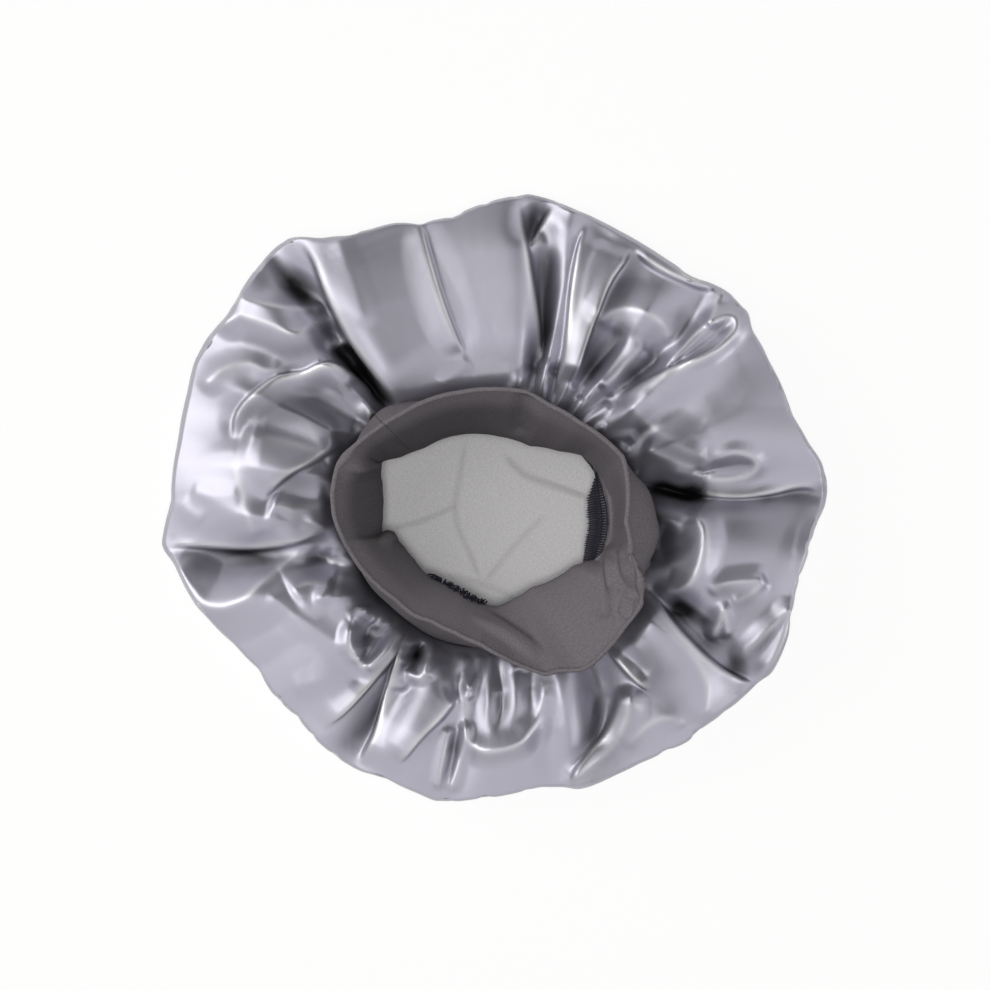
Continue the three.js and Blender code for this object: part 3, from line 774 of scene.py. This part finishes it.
def gather_folds():
    """Small pleats that run out from the seam, as fold lines in the photograph."""
    folds = []
    for first, last, height, longest in GATHERS:
        angle = float(first)
        while angle < last:
            radius, level = seam_section(np.array([angle]), 0.0, 0.0)
            length = draws.uniform(*GATHER_LENGTH_SHARES) * longest
            sway = draws.uniform(*GATHER_SWAYS)
            shares = np.array([0.0, GATHER_BEND_SHARE, 1.0])
            turns = angle + sway * shares**2
            away = radius + GATHER_START + length * shares
            points = in_photo(place(turns, away, level + GATHER_CLIMB * shares)).tolist()
            rise = draws.uniform(*GATHER_HEIGHT_SHARES) * height
            folds.append(("ridge", rise, draws.uniform(*GATHER_WIDTHS), points))
            angle += draws.uniform(*GATHER_SPACINGS)
    return folds


def from_middle(points):
    """How far points lie from the band's middle, seen from above."""
    return np.hypot(points[..., 0] - BAND_MIDDLE[0], points[..., 1] - BAND_MIDDLE[1])


def painted_pocket_shade(angle, points):
    """Painted shade for each point, from how far it lies sunk between its neighbours or in
    the gap under the band: none at 0, fully dark at 1."""
    height = points[..., 2]
    hull = height.copy()
    spacing = 2 * math.pi * from_middle(points) / len(angle)
    for step in range(1, POCKET_REACH_STEPS + 1):
        lower = POCKET_SLOPE * step * spacing
        beside = np.minimum(np.roll(height, step, axis=1), np.roll(height, -step, axis=1))
        hull = np.maximum(hull, beside - lower)
    painted_shade_share = np.clip((hull - height) / POCKET_DEPTH, 0, 1)
    wall = np.array(outer_wall(angle))[..., 0].max(axis=0)
    gap = bell(np.maximum(from_middle(points) - wall, 0), GAP_SHADE_WIDTH)
    gap *= around(GAP_SHADE_SHARES, 1, angle, BAND_BLUR)
    return 1 - (1 - painted_shade_share) * (1 - gap)


def shaded(points):
    """Painted shade: how much of their light the points lose to the folds beside them."""
    places = in_photo(points.reshape(-1, 3))
    lit = np.ones(len(places))
    for share, half_width, corners in SHADED_FACETS:
        across, _, _ = beside_line(places, smooth_line(corners))
        lit *= 1 - share * bell(across * PIXEL_SIZE, half_width)
    return 1 - lit.reshape(points.shape[:2])


def painted_glints(places):
    """How much painted highlight the satin gets along the edges of its folds."""
    painted_highlight = np.zeros(len(places))
    for kind, _, _, corners in SATIN_FOLDS:
        if kind not in GLINT_SHARES:
            continue
        line = smooth_line(corners)
        near = near_line(places, line, GLINT_REACH / PIXEL_SIZE)
        across, _, along = beside_line(places[near], line)
        beside = across * PIXEL_SIZE - (GLINT_WIDTH if kind == "lip" else 0.0)
        ends = ease(along / NARROW_SHARE) * ease((1 - along) / NARROW_SHARE)
        painted_glint = GLINT_SHARES[kind] * bell(beside, GLINT_WIDTH) * ends
        painted_highlight[near] = np.maximum(painted_highlight[near], painted_glint)
    return painted_highlight


def below_band(angle, points):
    """The greatest height at which each point of the satin still lies under the band."""
    walls = np.array(outer_wall(angle))
    reach = np.maximum.accumulate(walls[..., 0], axis=0)
    radius = from_middle(points)
    room = KNIT_THICKNESS / 2 + CLEARANCE
    limit = np.empty_like(radius)
    for column in range(len(angle)):
        limit[:, column] = np.interp(
            radius[:, column] - room, reach[:, column], walls[:, column, 1], right=np.inf
        )
    return limit - room


def satin_top(angle, outline, seam):
    """The satin's top, from the seam to the outline, and how much painted highlight it gets."""
    risen, shoulder, sloped, peak, raised = (
        around(PANEL_SHARES, column, angle, PUFF_BLUR)
        for column in (RISEN, SHOULDER, SLOPED, TURNS, RAISED)
    )
    peak = peak - ROUNDING_SHARE * side_waves(angle)
    across = np.linspace(0, 1, PANEL_STEPS)[:-1, None] * peak
    drop = np.linspace(0, math.pi / 2, DROP_STEPS)[:, None]
    edge = peak + (1 - peak) * np.sin(drop) - side_grooves(angle) * np.sin(2 * drop)
    shares = np.vstack([across, edge])
    level = np.vstack([np.ones_like(across), np.cos(drop) * np.ones_like(peak)])
    past = np.clip((shares - shoulder) / (1 - shoulder), 0, 1)
    level = level * (1 - sloped * past**PANEL_SLOPE_POWER)
    swell = 1 - (1 - np.clip(shares / risen, 0, 1)) ** PUFF_SWELL_POWER
    start = seam[:, 2]
    full = raised * PUFF_HEIGHT - start
    height = start + full * swell * (1 - pressed_in(angle, shares) * swell)
    top = seam + (outline - seam) * shares[..., None]
    top[..., 2] = TURN_HEIGHT + (height - TURN_HEIGHT) * level
    places = in_photo(top.reshape(-1, 3))
    rise, push = fold_rise(places, SATIN_FOLDS + gather_folds())
    fade = ease(shares / SEAM_FADE_SHARE) * ease((1 - shares) / EDGE_FADE_SHARE)
    top[..., :2] += push.reshape(*top.shape[:2], 2) * fade[..., None]
    top[..., 2] += rise.reshape(top.shape[:2]) * fade
    top[..., 2] = np.minimum(top[..., 2], below_band(angle, top))
    return top, painted_glints(places).reshape(top.shape[:2])


def satin_side(angle, outline):
    """The satin from the outline down to the surface it lies on."""
    tuck = TURN_DEPTH_SHARE + TUCK_SHARE * (side_waves(2 * angle) + pressed_in(angle, 1.0))
    rows = []
    for turn in np.linspace(0, math.pi / 2, TURN_STEPS)[1:]:
        inwards = tuck * (1 - math.cos(turn)) + side_grooves(angle) * math.sin(turn)
        row = outline * (1 - inwards)[:, None]
        row[:, 2] = TURN_HEIGHT * (1 - math.sin(turn))
        rows.append(row)
    return np.array(rows)


def satin_flat(rim):
    """The satin that lies flat inside its rim, and how far creases lift it."""
    flat = np.array([rim * share for share in np.linspace(1, 0, FLAT_STEPS)[1:-1]])
    lift, _ = fold_rise(in_photo(flat.reshape(-1, 3)), STORAGE_CREASES)
    lift = lift.reshape(flat.shape[:2])
    flat[..., 2] = lift + waves(flat)
    return flat, lift


def satin_grid():
    """The satin's outer face, from the raw edge over the top, round the outline and to the
    middle of the flat, with each point's painted shade, from how far it lies sunk between
    folds, under the band, on shaded facets and along creases, and its painted highlight."""
    angle = JOIN_ANGLE + 360 * np.arange(AROUND_STEPS) / AROUND_STEPS
    outline = outline_points(angle)
    to_satin = -(KNIT_THICKNESS / 2 + CLEARANCE)
    allowance = [
        place(angle, *seam_section(angle, down, to_satin))
        for down in np.linspace(SEAM_ALLOWANCE, SATIN_TURN, ALLOWANCE_STEPS)
    ]
    seam = allowance.pop()
    top, painted_highlight = satin_top(angle, outline, seam)
    side = satin_side(angle, outline)
    flat, lift = satin_flat(side[-1])
    grid = np.concatenate([np.array(allowance), top, side, flat])
    top_rows = slice(len(allowance), len(allowance) + len(top))
    painted_glint = np.zeros(grid.shape[:2])
    painted_glint[top_rows] = painted_highlight
    painted_shade_share = np.zeros(grid.shape[:2])
    # The allowance, hidden under the band, is painted fully dark as shade.
    painted_shade_share[: len(allowance)] = 1.0
    painted_shade_share[top_rows] = 1 - (1 - painted_pocket_shade(angle, top)) * (1 - shaded(top))
    # The flat gets painted shade along its storage creases.
    painted_shade_share[-len(flat) :] = CREASE_SHADE * lift
    return grid, painted_shade_share, painted_glint


def with_waves(start, turn, table):
    """A value with the waves of a table, which go round the band, added to it."""
    for count, height, phase in table:
        start = start + height * np.sin(count * turn + phase)
    return start


def side_waves(angle):
    """The soft folds round the puff's side, from 0 to 1."""
    return with_waves(0.5, np.radians(angle), SIDE_WAVE_SHARES)


def side_grooves(angle):
    """Narrow creases that run down the puff's side, as shares of the way to the outline."""
    turn = np.radians(angle)
    wandering = with_waves(GROOVES_AROUND * turn, turn, GROOVE_WANDERS)
    sharp = (1 - np.abs(np.sin(wandering))) ** GROOVE_POWER
    return SIDE_FOLD_SHARE * sharp * side_waves(3 * angle)


def waves(points):
    """The soft unevenness of cloth that lies loose on a surface."""
    x, y = points[..., 0], points[..., 1]
    bend = LONG_WAVE_BEND * np.sin(y / LONG_WAVE_BEND_LENGTH)
    long_wave = LONG_WAVE_RISE * np.sin(x / LONG_WAVE + bend)
    return LOOSE_RISE + long_wave + SHORT_WAVE_RISE * np.sin(y / SHORT_WAVE + x / SHORT_WAVE_SLANT)


def flat_cut(grid):
    """Where each point of the gathered satin lies on the flat circle."""
    steps = np.linalg.norm(np.diff(grid, axis=0), axis=2).mean(axis=1)
    radius = np.concatenate([np.cumsum(steps[::-1])[::-1], [0.0]])
    turn = 2 * math.pi * np.arange(grid.shape[1]) / grid.shape[1]
    x = radius[:, None] * np.cos(turn)
    y = radius[:, None] * np.sin(turn)
    return np.stack([x, y, np.zeros_like(x)], axis=-1)


def satin_crown():
    grid, painted_shade_share, painted_glint = satin_grid()
    pole = grid[-1].mean(axis=0)
    piece = grid_mesh("satin_sheet", grid, True, [satin_face(), satin_reverse()], pole)
    mark(piece, "cut", np.vstack([flat_cut(grid).reshape(-1, 3), np.zeros(3)]))
    mark_share(piece, "painted_shade", np.append(painted_shade_share.ravel(), 0.0))
    mark_share(piece, "painted_glint", np.append(painted_glint.ravel(), 0.0))
    thicken(piece, SATIN_THICKNESS, -1)
    state(piece, "satin_crown")


# Band
def folded_edge(angle):
    """Radius and height of the middle of the free edge's fold, and the fold's radius."""
    fold_radius = (PLY_SPACE + KNIT_THICKNESS) / 2
    edge_height = BAND_HEIGHT * band_table(HEIGHT, angle) - fold_radius - KNIT_THICKNESS / 2
    edge_radius = seen_radius(RIM_SHARES, angle, edge_height) - fold_radius - KNIT_THICKNESS / 2
    return edge_radius, edge_height, fold_radius


def outer_wall(angle):
    """Radial sections of the outer ply, from the seam up to the free edge."""
    edge_radius, edge_height, fold_radius = folded_edge(angle)
    seam = np.stack(seam_section(angle, 0.0, 0.0), axis=-1)
    edge = np.stack([edge_radius + fold_radius, edge_height], axis=-1)
    belly = (seam + edge) / 2
    belly[:, 0] += BAND_RADIUS * band_table(BULGE, angle)
    return section_curve([seam, belly, edge])


def inner_wall(angle):
    """Radial sections of the inner ply, from the seam over the throat to the free edge."""
    edge_radius, edge_height, fold_radius = folded_edge(angle)
    seam = np.stack(seam_section(angle, 0.0, KNIT_THICKNESS + CLEARANCE), axis=-1)
    level = SEAM_HEIGHT + THROAT_RISE
    radius = seen_radius(THROAT_SHARES, angle, level) + KNIT_THICKNESS / 2
    throat = np.stack([radius, np.full_like(angle, level)], axis=-1)
    edge = np.stack([edge_radius - fold_radius, edge_height], axis=-1)
    return section_curve([seam, throat, edge])


def band_grid():
    """Middle surface of the folded strip: up the inner ply, over the edge and down the
    outer ply, from raw edge to raw edge."""
    end = math.degrees(JOIN_GAP / 2 / BAND_RADIUS)
    angle = JOIN_ANGLE + np.linspace(end, 360 - end, BAND_AROUND_STEPS)
    to_inner = KNIT_THICKNESS + CLEARANCE
    edge_radius, edge_height, fold_radius = folded_edge(angle)
    downs = np.linspace(SEAM_ALLOWANCE, 0, ALLOWANCE_STEPS)[:-1]
    rows = [np.stack(seam_section(angle, down, to_inner), axis=-1) for down in downs]
    rows += inner_wall(angle)
    for turn in np.linspace(math.pi, 0, FOLD_STEPS)[1:-1]:
        radius = edge_radius + fold_radius * math.cos(turn)
        rows.append(np.stack([radius, edge_height + fold_radius * math.sin(turn)], axis=-1))
    rows += outer_wall(angle)[::-1]
    rows += [np.stack(seam_section(angle, down, 0.0), axis=-1) for down in downs[::-1]]
    grid = np.array([place(angle, row[:, 0], row[:, 1]) for row in rows])
    return grid, angle


def section_curve(points):
    """Catmull-Rom curves through three points of every radial section."""
    shape = points[0].shape
    flat = np.array([p.ravel() for p in points])
    return list(smooth_line(flat, WALL_STEPS).reshape(WALL_STEPS, *shape))


def normals_of(grid):
    """Unit normals of an open grid of points."""
    down = np.gradient(grid, axis=0)
    across = np.gradient(grid, axis=1)
    normal = np.cross(across, down)
    return normal / np.linalg.norm(normal, axis=2, keepdims=True)


def knit_band():
    grid, angle = band_grid()
    normal = normals_of(grid)
    rise, _ = fold_rise(in_photo(grid.reshape(-1, 3)), BAND_FOLDS)
    rise = rise.reshape(grid.shape[:2])
    walls = np.arange(grid.shape[0])
    from_edge = np.minimum(walls, walls[::-1]) - ALLOWANCE_STEPS
    columns = np.arange(grid.shape[1])
    from_join = np.minimum(columns, columns[::-1])
    spacing = 2 * math.pi * BAND_RADIUS / BAND_AROUND_STEPS
    first, last = JOIN_GROOVE_ROWS
    groove = ease((walls - first) / JOIN_GROOVE_EASE_ROWS)
    groove *= ease((last - walls) / JOIN_GROOVE_EASE_ROWS)
    rise -= JOIN_GROOVE * bell(from_join * spacing, JOIN_GROOVE_WIDTH) * groove[:, None]
    rise *= ease(from_edge / FREE_EASE_ROWS)[:, None]
    grid = grid + normal * rise[..., None]
    piece = grid_mesh("folded_band", grid, False, [knit(), knit()])
    steps = np.linalg.norm(np.diff(grid, axis=0), axis=2).mean(axis=1)
    up = np.concatenate([[0.0], np.cumsum(steps)])
    cut = np.zeros_like(grid)
    cut[..., 0] = np.linspace(0, STRIP_LENGTH, grid.shape[1])
    cut[..., 1] = up[:, None]
    mark(piece, "cut", cut.reshape(-1, 3))
    # Painted shade on the inner ply where it lies in its own shade, stored with each vertex.
    shade = around(SHADE_SHARES, 1, angle, PUFF_BLUR)
    shade = shade * ease((SHADE_ROWS - walls[:, None]) / SHADE_EASE_ROWS)
    mark_share(piece, "painted_shade", shade.ravel())
    thicken(piece, KNIT_THICKNESS, 0)
    state(piece, "knit_band")


# Threads
def thread_turns(pitch):
    """Angles along the seam, and the phase of a stitch of this pitch at each of them."""
    radius = BAND_RADIUS * np.mean(BAND_SHARES[:, SEAM])
    end = math.degrees(THREAD_END_GAP / 2 / radius)
    stitches = round(2 * math.pi * radius / pitch)
    along = np.linspace(0, 1, stitches * LOOP_STEPS + 1)
    return JOIN_ANGLE + end + (360 - 2 * end) * along, 2 * math.pi * stitches * along


def looper(name, node, pitch, over):
    """A thread that weaves between the needle line and the raw edges."""
    angle, phase = thread_turns(pitch)
    swing = 0.5 - 0.5 * np.cos(phase)
    loop = phase / 2 / math.pi
    past = [draws.uniform(*LOOP_OVERSHOOTS) for _ in range(int(loop[-1]) + 2)]
    edge = SEAM_ALLOWANCE + np.interp(loop, np.arange(len(past)), past)
    down = NEEDLE_SETBACK + (edge - NEEDLE_SETBACK) * swing
    points = place(angle, *seam_section(angle, down, over))
    tube(name, points, overlock_thread(), node)


def needle_thread(name, node, down, over, material):
    """A row of stitches along the seam."""
    angle, phase = thread_turns(STITCH_PITCH)
    points = place(angle, *seam_section(angle, down + STITCH_SWAY * np.sin(phase), over))
    tube(name, points, material, node)


def join_thread():
    """Zigzag stitches that join the strip's two ends, between the plies."""
    middle = np.array([JOIN_ANGLE])
    inner = np.array(inner_wall(middle))[:, 0]
    outer = np.array(outer_wall(middle))[:, 0]
    section = (inner + outer) / 2
    up = np.concatenate([[0.0], np.cumsum(np.linalg.norm(np.diff(section, axis=0), axis=1))])
    first = JOIN_STITCH_TRIM
    last = up[-1] - JOIN_STITCH_WIDTH
    stitches = round((last - first) / JOIN_STITCH_PITCH)
    at = np.linspace(first, last, stitches * LOOP_STEPS + 1)
    radius = np.interp(at, up, section[:, 0])
    height = np.interp(at, up, section[:, 1])
    aside = JOIN_STITCH_WIDTH / 2 * np.cos(math.pi * np.arange(len(at)) / LOOP_STEPS)
    points = place(JOIN_ANGLE + np.degrees(aside / radius), radius, height)
    tube("band_join_stitches", points, grey_thread(), "band_join_thread")


def tail_points(layer):
    """A loose strand of the thread chain, lying along the band's throat."""
    along = np.linspace(0, 1, TAIL_STEPS)
    swings = draws.uniform(*TAIL_SWINGS)
    first = draws.uniform(0, 2 * math.pi)
    angle = TAIL_ANGLES[0] + (TAIL_ANGLES[1] - TAIL_ANGLES[0]) * along
    angle = angle + TAIL_SWAY_ANGLE * np.sin(swings * TAIL_SWAY_RADIANS * along + first)
    wall = np.array(inner_wall(angle))
    tangent = np.gradient(wall, axis=0)
    tangent /= np.linalg.norm(tangent, axis=2, keepdims=True)
    normal = np.stack([-tangent[..., 1], tangent[..., 0]], axis=-1)
    middle = (WALL_STEPS - 1) / 2 + TAIL_RISE_ROWS
    swell = np.sin(math.pi * along**TAIL_SWELL_POWER)
    swell = TAIL_FLAT_SHARE + (1 - TAIL_FLAT_SHARE) * swell
    row = middle + TAIL_SWING_ROWS * swell * np.sin(swings * 2 * math.pi * along + first)
    low = np.clip(row.astype(int), 0, WALL_STEPS - 2)
    part = (row - low)[:, None]
    column = np.arange(TAIL_STEPS)
    section = wall[low, column] * (1 - part) + wall[low + 1, column] * part
    lift = KNIT_THICKNESS / 2 + THREAD_CLEARANCE + THREAD_RADIUS + layer * THREAD_LAYER
    section = section + normal[low, column] * lift
    return place(angle, section[:, 0], section[:, 1])


def threads():
    for strand in range(TAIL_STRANDS):
        name = f"overlock_tail_{strand + 1}"
        tube(name, tail_points(strand), overlock_thread())
    looper("looper_over_band", "overlock_upper_looper", UPPER_PITCH, ABOVE_BAND)
    looper("looper_under_satin", "overlock_lower_looper", LOWER_PITCH, BELOW_SATIN - THREAD_LAYER)
    above = ABOVE_BAND + THREAD_LAYER
    for name, node, down in [
        ("outer_needle_stitches", "overlock_left_needle", NEEDLE_SETBACK),
        ("inner_needle_stitches", "overlock_right_needle", NEEDLE_SETBACK + NEEDLE_SPACING),
    ]:
        needle_thread(name, node, down, above, overlock_thread())
    needle_thread(
        "gathering_stitches", "gathering_thread", SEAM_ALLOWANCE / 2, BELOW_SATIN,
        grey_thread(),
    )
    join_thread()


def tube(name, points, material, node=None):
    """A round thread along a list of points, closed at its ends. Where it runs upright, its
    section is set out from the X axis."""
    tangent = np.gradient(points, axis=0)
    tangent /= np.linalg.norm(tangent, axis=1, keepdims=True)
    aside = np.cross(tangent, [0.0, 0.0, 1.0])
    flat = np.linalg.norm(aside, axis=1) < UPRIGHT_SHARE
    aside[flat] = np.cross(tangent[flat], [1.0, 0.0, 0.0])
    aside /= np.linalg.norm(aside, axis=1, keepdims=True)
    above = np.cross(aside, tangent)
    turns = 2 * math.pi * np.arange(THREAD_SIDES) / THREAD_SIDES
    outwards = [math.cos(turn) * aside + math.sin(turn) * above for turn in turns]
    rings = [points + THREAD_RADIUS * outward for outward in outwards]
    piece = grid_mesh(name, np.stack(rings, axis=1), True, [material], caps=True)
    state(piece, node)


# Materials
def set_inputs(tree, node, inputs):
    """Links a node's inputs to sockets, or sets them to values."""
    for name, value in inputs.items():
        if isinstance(value, bpy.types.NodeSocket):
            tree.links.new(value, node.inputs[name])
        else:
            node.inputs[name].default_value = value


def add_node(tree, kind, inputs, **settings):
    """The outputs of a new node."""
    node = tree.nodes.new(kind)
    for name, value in settings.items():
        setattr(node, name, value)
    set_inputs(tree, node, inputs)
    return node.outputs


def new_material(name):
    material = bpy.data.materials.new(name)
    material.use_nodes = True
    tree = material.node_tree
    return material, tree, tree.nodes["Principled BSDF"]


def stored(tree, name):
    """What is stored with each vertex under a name."""
    return add_node(tree, "ShaderNodeAttribute", {}, attribute_name=name)


def noise(tree, vector, scale):
    inputs = {"Scale": scale, "Detail": NOISE_DETAIL, "Vector": vector}
    return add_node(tree, "ShaderNodeTexNoise", inputs)["Fac"]


def wave(tree, vector, scale, distortion, direction):
    inputs = {"Scale": scale, "Distortion": distortion, "Vector": vector}
    return add_node(tree, "ShaderNodeTexWave", inputs, bands_direction=direction)["Fac"]


def bump(tree, height, depth, strength, under=None):
    inputs = {"Distance": depth * MM, "Strength": strength, "Height": height}
    if under:
        inputs["Normal"] = under
    return add_node(tree, "ShaderNodeBump", inputs)["Normal"]


def blend(tree, share, colour, other):
    """A colour that goes over to another one by a share."""
    inputs = {"Factor": share, "A": colour, "B": other}
    return add_node(tree, "ShaderNodeMix", inputs, data_type="RGBA")["Result"]


def satin_face():
    material, tree, shader = new_material("satin_face")
    cut = stored(tree, "cut")["Vector"]
    colour = blend(tree, noise(tree, cut, SATIN_GRAIN), *SATIN_COLOURS)
    # Painted highlight along the edges of the folds.
    colour = blend(tree, stored(tree, "painted_glint")["Fac"], colour, SATIN_PAINTED_GLINT)
    # Painted shade in pockets between the folds, under the band and on shaded facets.
    colour = blend(tree, stored(tree, "painted_shade")["Fac"], colour, SATIN_PAINTED_SHADE)
    weave = bump(tree, wave(tree, cut, *SATIN_WEAVE, "DIAGONAL"), *SATIN_WEAVE_BUMP)
    crumple = bump(tree, noise(tree, cut, SATIN_CRUMPLE), *SATIN_CRUMPLE_BUMP, weave)
    set_inputs(tree, shader, {
        "Base Color": colour,
        "Metallic": SATIN_METALLIC,
        "Roughness": SATIN_ROUGHNESS,
        "Normal": crumple,
    })
    return material


def satin_reverse():
    material, tree, shader = new_material("satin_reverse")
    cut = stored(tree, "cut")["Vector"]
    colour = blend(tree, noise(tree, cut, REVERSE_GRAIN), *REVERSE_COLOURS)
    # Painted shade stored with the sheet, which on the flat lies along its storage creases.
    colour = blend(tree, stored(tree, "painted_shade")["Fac"], colour, REVERSE_PAINTED_SHADE)
    warp = bump(tree, wave(tree, cut, *REVERSE_WEAVE, "X"), *REVERSE_WEAVE_BUMP)
    weft = bump(tree, wave(tree, cut, *REVERSE_WEAVE, "Y"), *REVERSE_WEAVE_BUMP, warp)
    inputs = {"Base Color": colour, "Roughness": REVERSE_ROUGHNESS, "Normal": weft}
    set_inputs(tree, shader, inputs)
    return material


def knit():
    name = "knit_jersey"
    if name in bpy.data.materials:
        return bpy.data.materials[name]
    material, tree, shader = new_material(name)
    cut = stored(tree, "cut")["Vector"]
    colour = blend(tree, noise(tree, cut, KNIT_GRAIN), *KNIT_COLOURS)
    # Painted shade on the inner ply.
    colour = blend(tree, stored(tree, "painted_shade")["Fac"], colour, KNIT_PAINTED_SHADE)
    wales = bump(tree, wave(tree, cut, *KNIT_WALES, "X"), *KNIT_WALES_BUMP)
    courses = bump(tree, wave(tree, cut, *KNIT_COURSES, "Y"), *KNIT_COURSES_BUMP, wales)
    set_inputs(tree, shader, {
        "Base Color": colour,
        "Roughness": KNIT_ROUGHNESS,
        "Specular IOR Level": KNIT_SPECULAR,
        "Normal": courses,
    })
    return material


def thread_material(name, colours):
    if name in bpy.data.materials:
        return bpy.data.materials[name]
    material, tree, shader = new_material(name)
    places = add_node(tree, "ShaderNodeTexCoord", {})["Object"]
    grain = noise(tree, places, THREAD_GRAIN)
    set_inputs(tree, shader, {
        "Base Color": blend(tree, grain, *colours),
        "Roughness": THREAD_ROUGHNESS,
        "Normal": bump(tree, grain, *THREAD_BUMP),
    })
    return material


def overlock_thread():
    return thread_material("black_thread", BLACK_THREAD_COLOURS)


def grey_thread():
    return thread_material("plain_grey_thread", GREY_THREAD_COLOURS)


# Floor, light and camera
def floor():
    """A white floor that keeps the shadow, and glows a little in the camera's eye alone."""
    bpy.ops.mesh.primitive_plane_add(size=FLOOR_SIZE, location=(0, 0, -FLOOR_GAP))
    plane = bpy.context.object
    plane.name = "floor"
    material, tree, shader = new_material("white_floor")
    inputs = {"Base Color": FLOOR_COLOUR, "Roughness": FLOOR_ROUGHNESS}
    set_inputs(tree, shader, inputs)
    glow = add_node(tree, "ShaderNodeEmission", {})["Emission"]
    seen = add_node(tree, "ShaderNodeLightPath", {})["Is Camera Ray"]
    inputs = {0: seen, 1: FLOOR_GLOW_SHARE}
    share = add_node(tree, "ShaderNodeMath", inputs, operation="MULTIPLY")[0]
    inputs = {"Fac": share, 1: shader.outputs["BSDF"], 2: glow}
    surface = add_node(tree, "ShaderNodeMixShader", inputs)["Shader"]
    set_inputs(tree, tree.nodes["Material Output"], {"Surface": surface})
    plane.data.materials.append(material)


def card(name, location, size, colour):
    """A plain card out of the camera's sight, that the satin mirrors."""
    bpy.ops.mesh.primitive_plane_add(size=size, location=location)
    plane = bpy.context.object
    plane.name = name
    plane.rotation_mode = "QUATERNION"
    plane.rotation_quaternion = (-plane.location).to_track_quat("Z", "Y")
    plane.visible_camera = False
    material, tree, shader = new_material(name)
    set_inputs(tree, shader, {"Base Color": colour, "Roughness": 1.0})
    plane.data.materials.append(material)


def world():
    """A dim world that the camera and mirroring surfaces see as plain white."""
    scene_world = bpy.data.worlds.new("studio")
    bpy.context.scene.world = scene_world
    scene_world.use_nodes = True
    tree = scene_world.node_tree
    dim = tree.nodes["Background"]
    set_inputs(tree, dim, {"Color": WORLD_COLOUR, "Strength": WORLD_STRENGTH})
    white = add_node(tree, "ShaderNodeBackground", {"Color": WHITE})[0]
    rays = add_node(tree, "ShaderNodeLightPath", {})
    seen = rays["Is Camera Ray"]
    for ray in ("Is Glossy Ray", "Is Transmission Ray"):
        seen = add_node(tree, "ShaderNodeMath", {0: seen, 1: rays[ray]}, operation="MAXIMUM")[0]
    surface = add_node(tree, "ShaderNodeMixShader", {"Fac": seen, 1: dim.outputs[0], 2: white})[0]
    set_inputs(tree, tree.nodes["World Output"], {"Surface": surface})


def softbox(name, location, size, power, mirrored):
    light = bpy.data.lights.new(name, "AREA")
    light.shape = "SQUARE"
    light.size = size
    light.energy = power
    light.color = LAMP_COLOUR
    lamp = bpy.data.objects.new(name, light)
    lamp.location = location
    lamp.visible_glossy = mirrored
    lamp.rotation_mode = "QUATERNION"
    lamp.rotation_quaternion = (-lamp.location).to_track_quat("-Z", "Y")
    bpy.context.scene.collection.objects.link(lamp)


def camera():
    data = bpy.data.cameras.new("photo_camera")
    data.sensor_width = SENSOR_WIDTH
    data.lens = SENSOR_WIDTH / 2 * CAMERA_DISTANCE / (CENTRE_PIXEL * PIXEL_SIZE)
    data.clip_end = CAMERA_CLIP_END
    lens = bpy.data.objects.new("photo_camera", data)
    lens.location = (CAMERA_X * MM, CAMERA_Y * MM, (CAMERA_DISTANCE + TURN_HEIGHT) * MM)
    bpy.context.scene.collection.objects.link(lens)
    bpy.context.scene.camera = lens


camera()
satin_crown()
knit_band()
threads()
floor()
card("back_card", **BACK_CARD)
world()
for lamp_name, lamp_values in LAMPS.items():
    softbox(lamp_name, **lamp_values)
bpy.context.scene.view_settings.view_transform = "Standard"
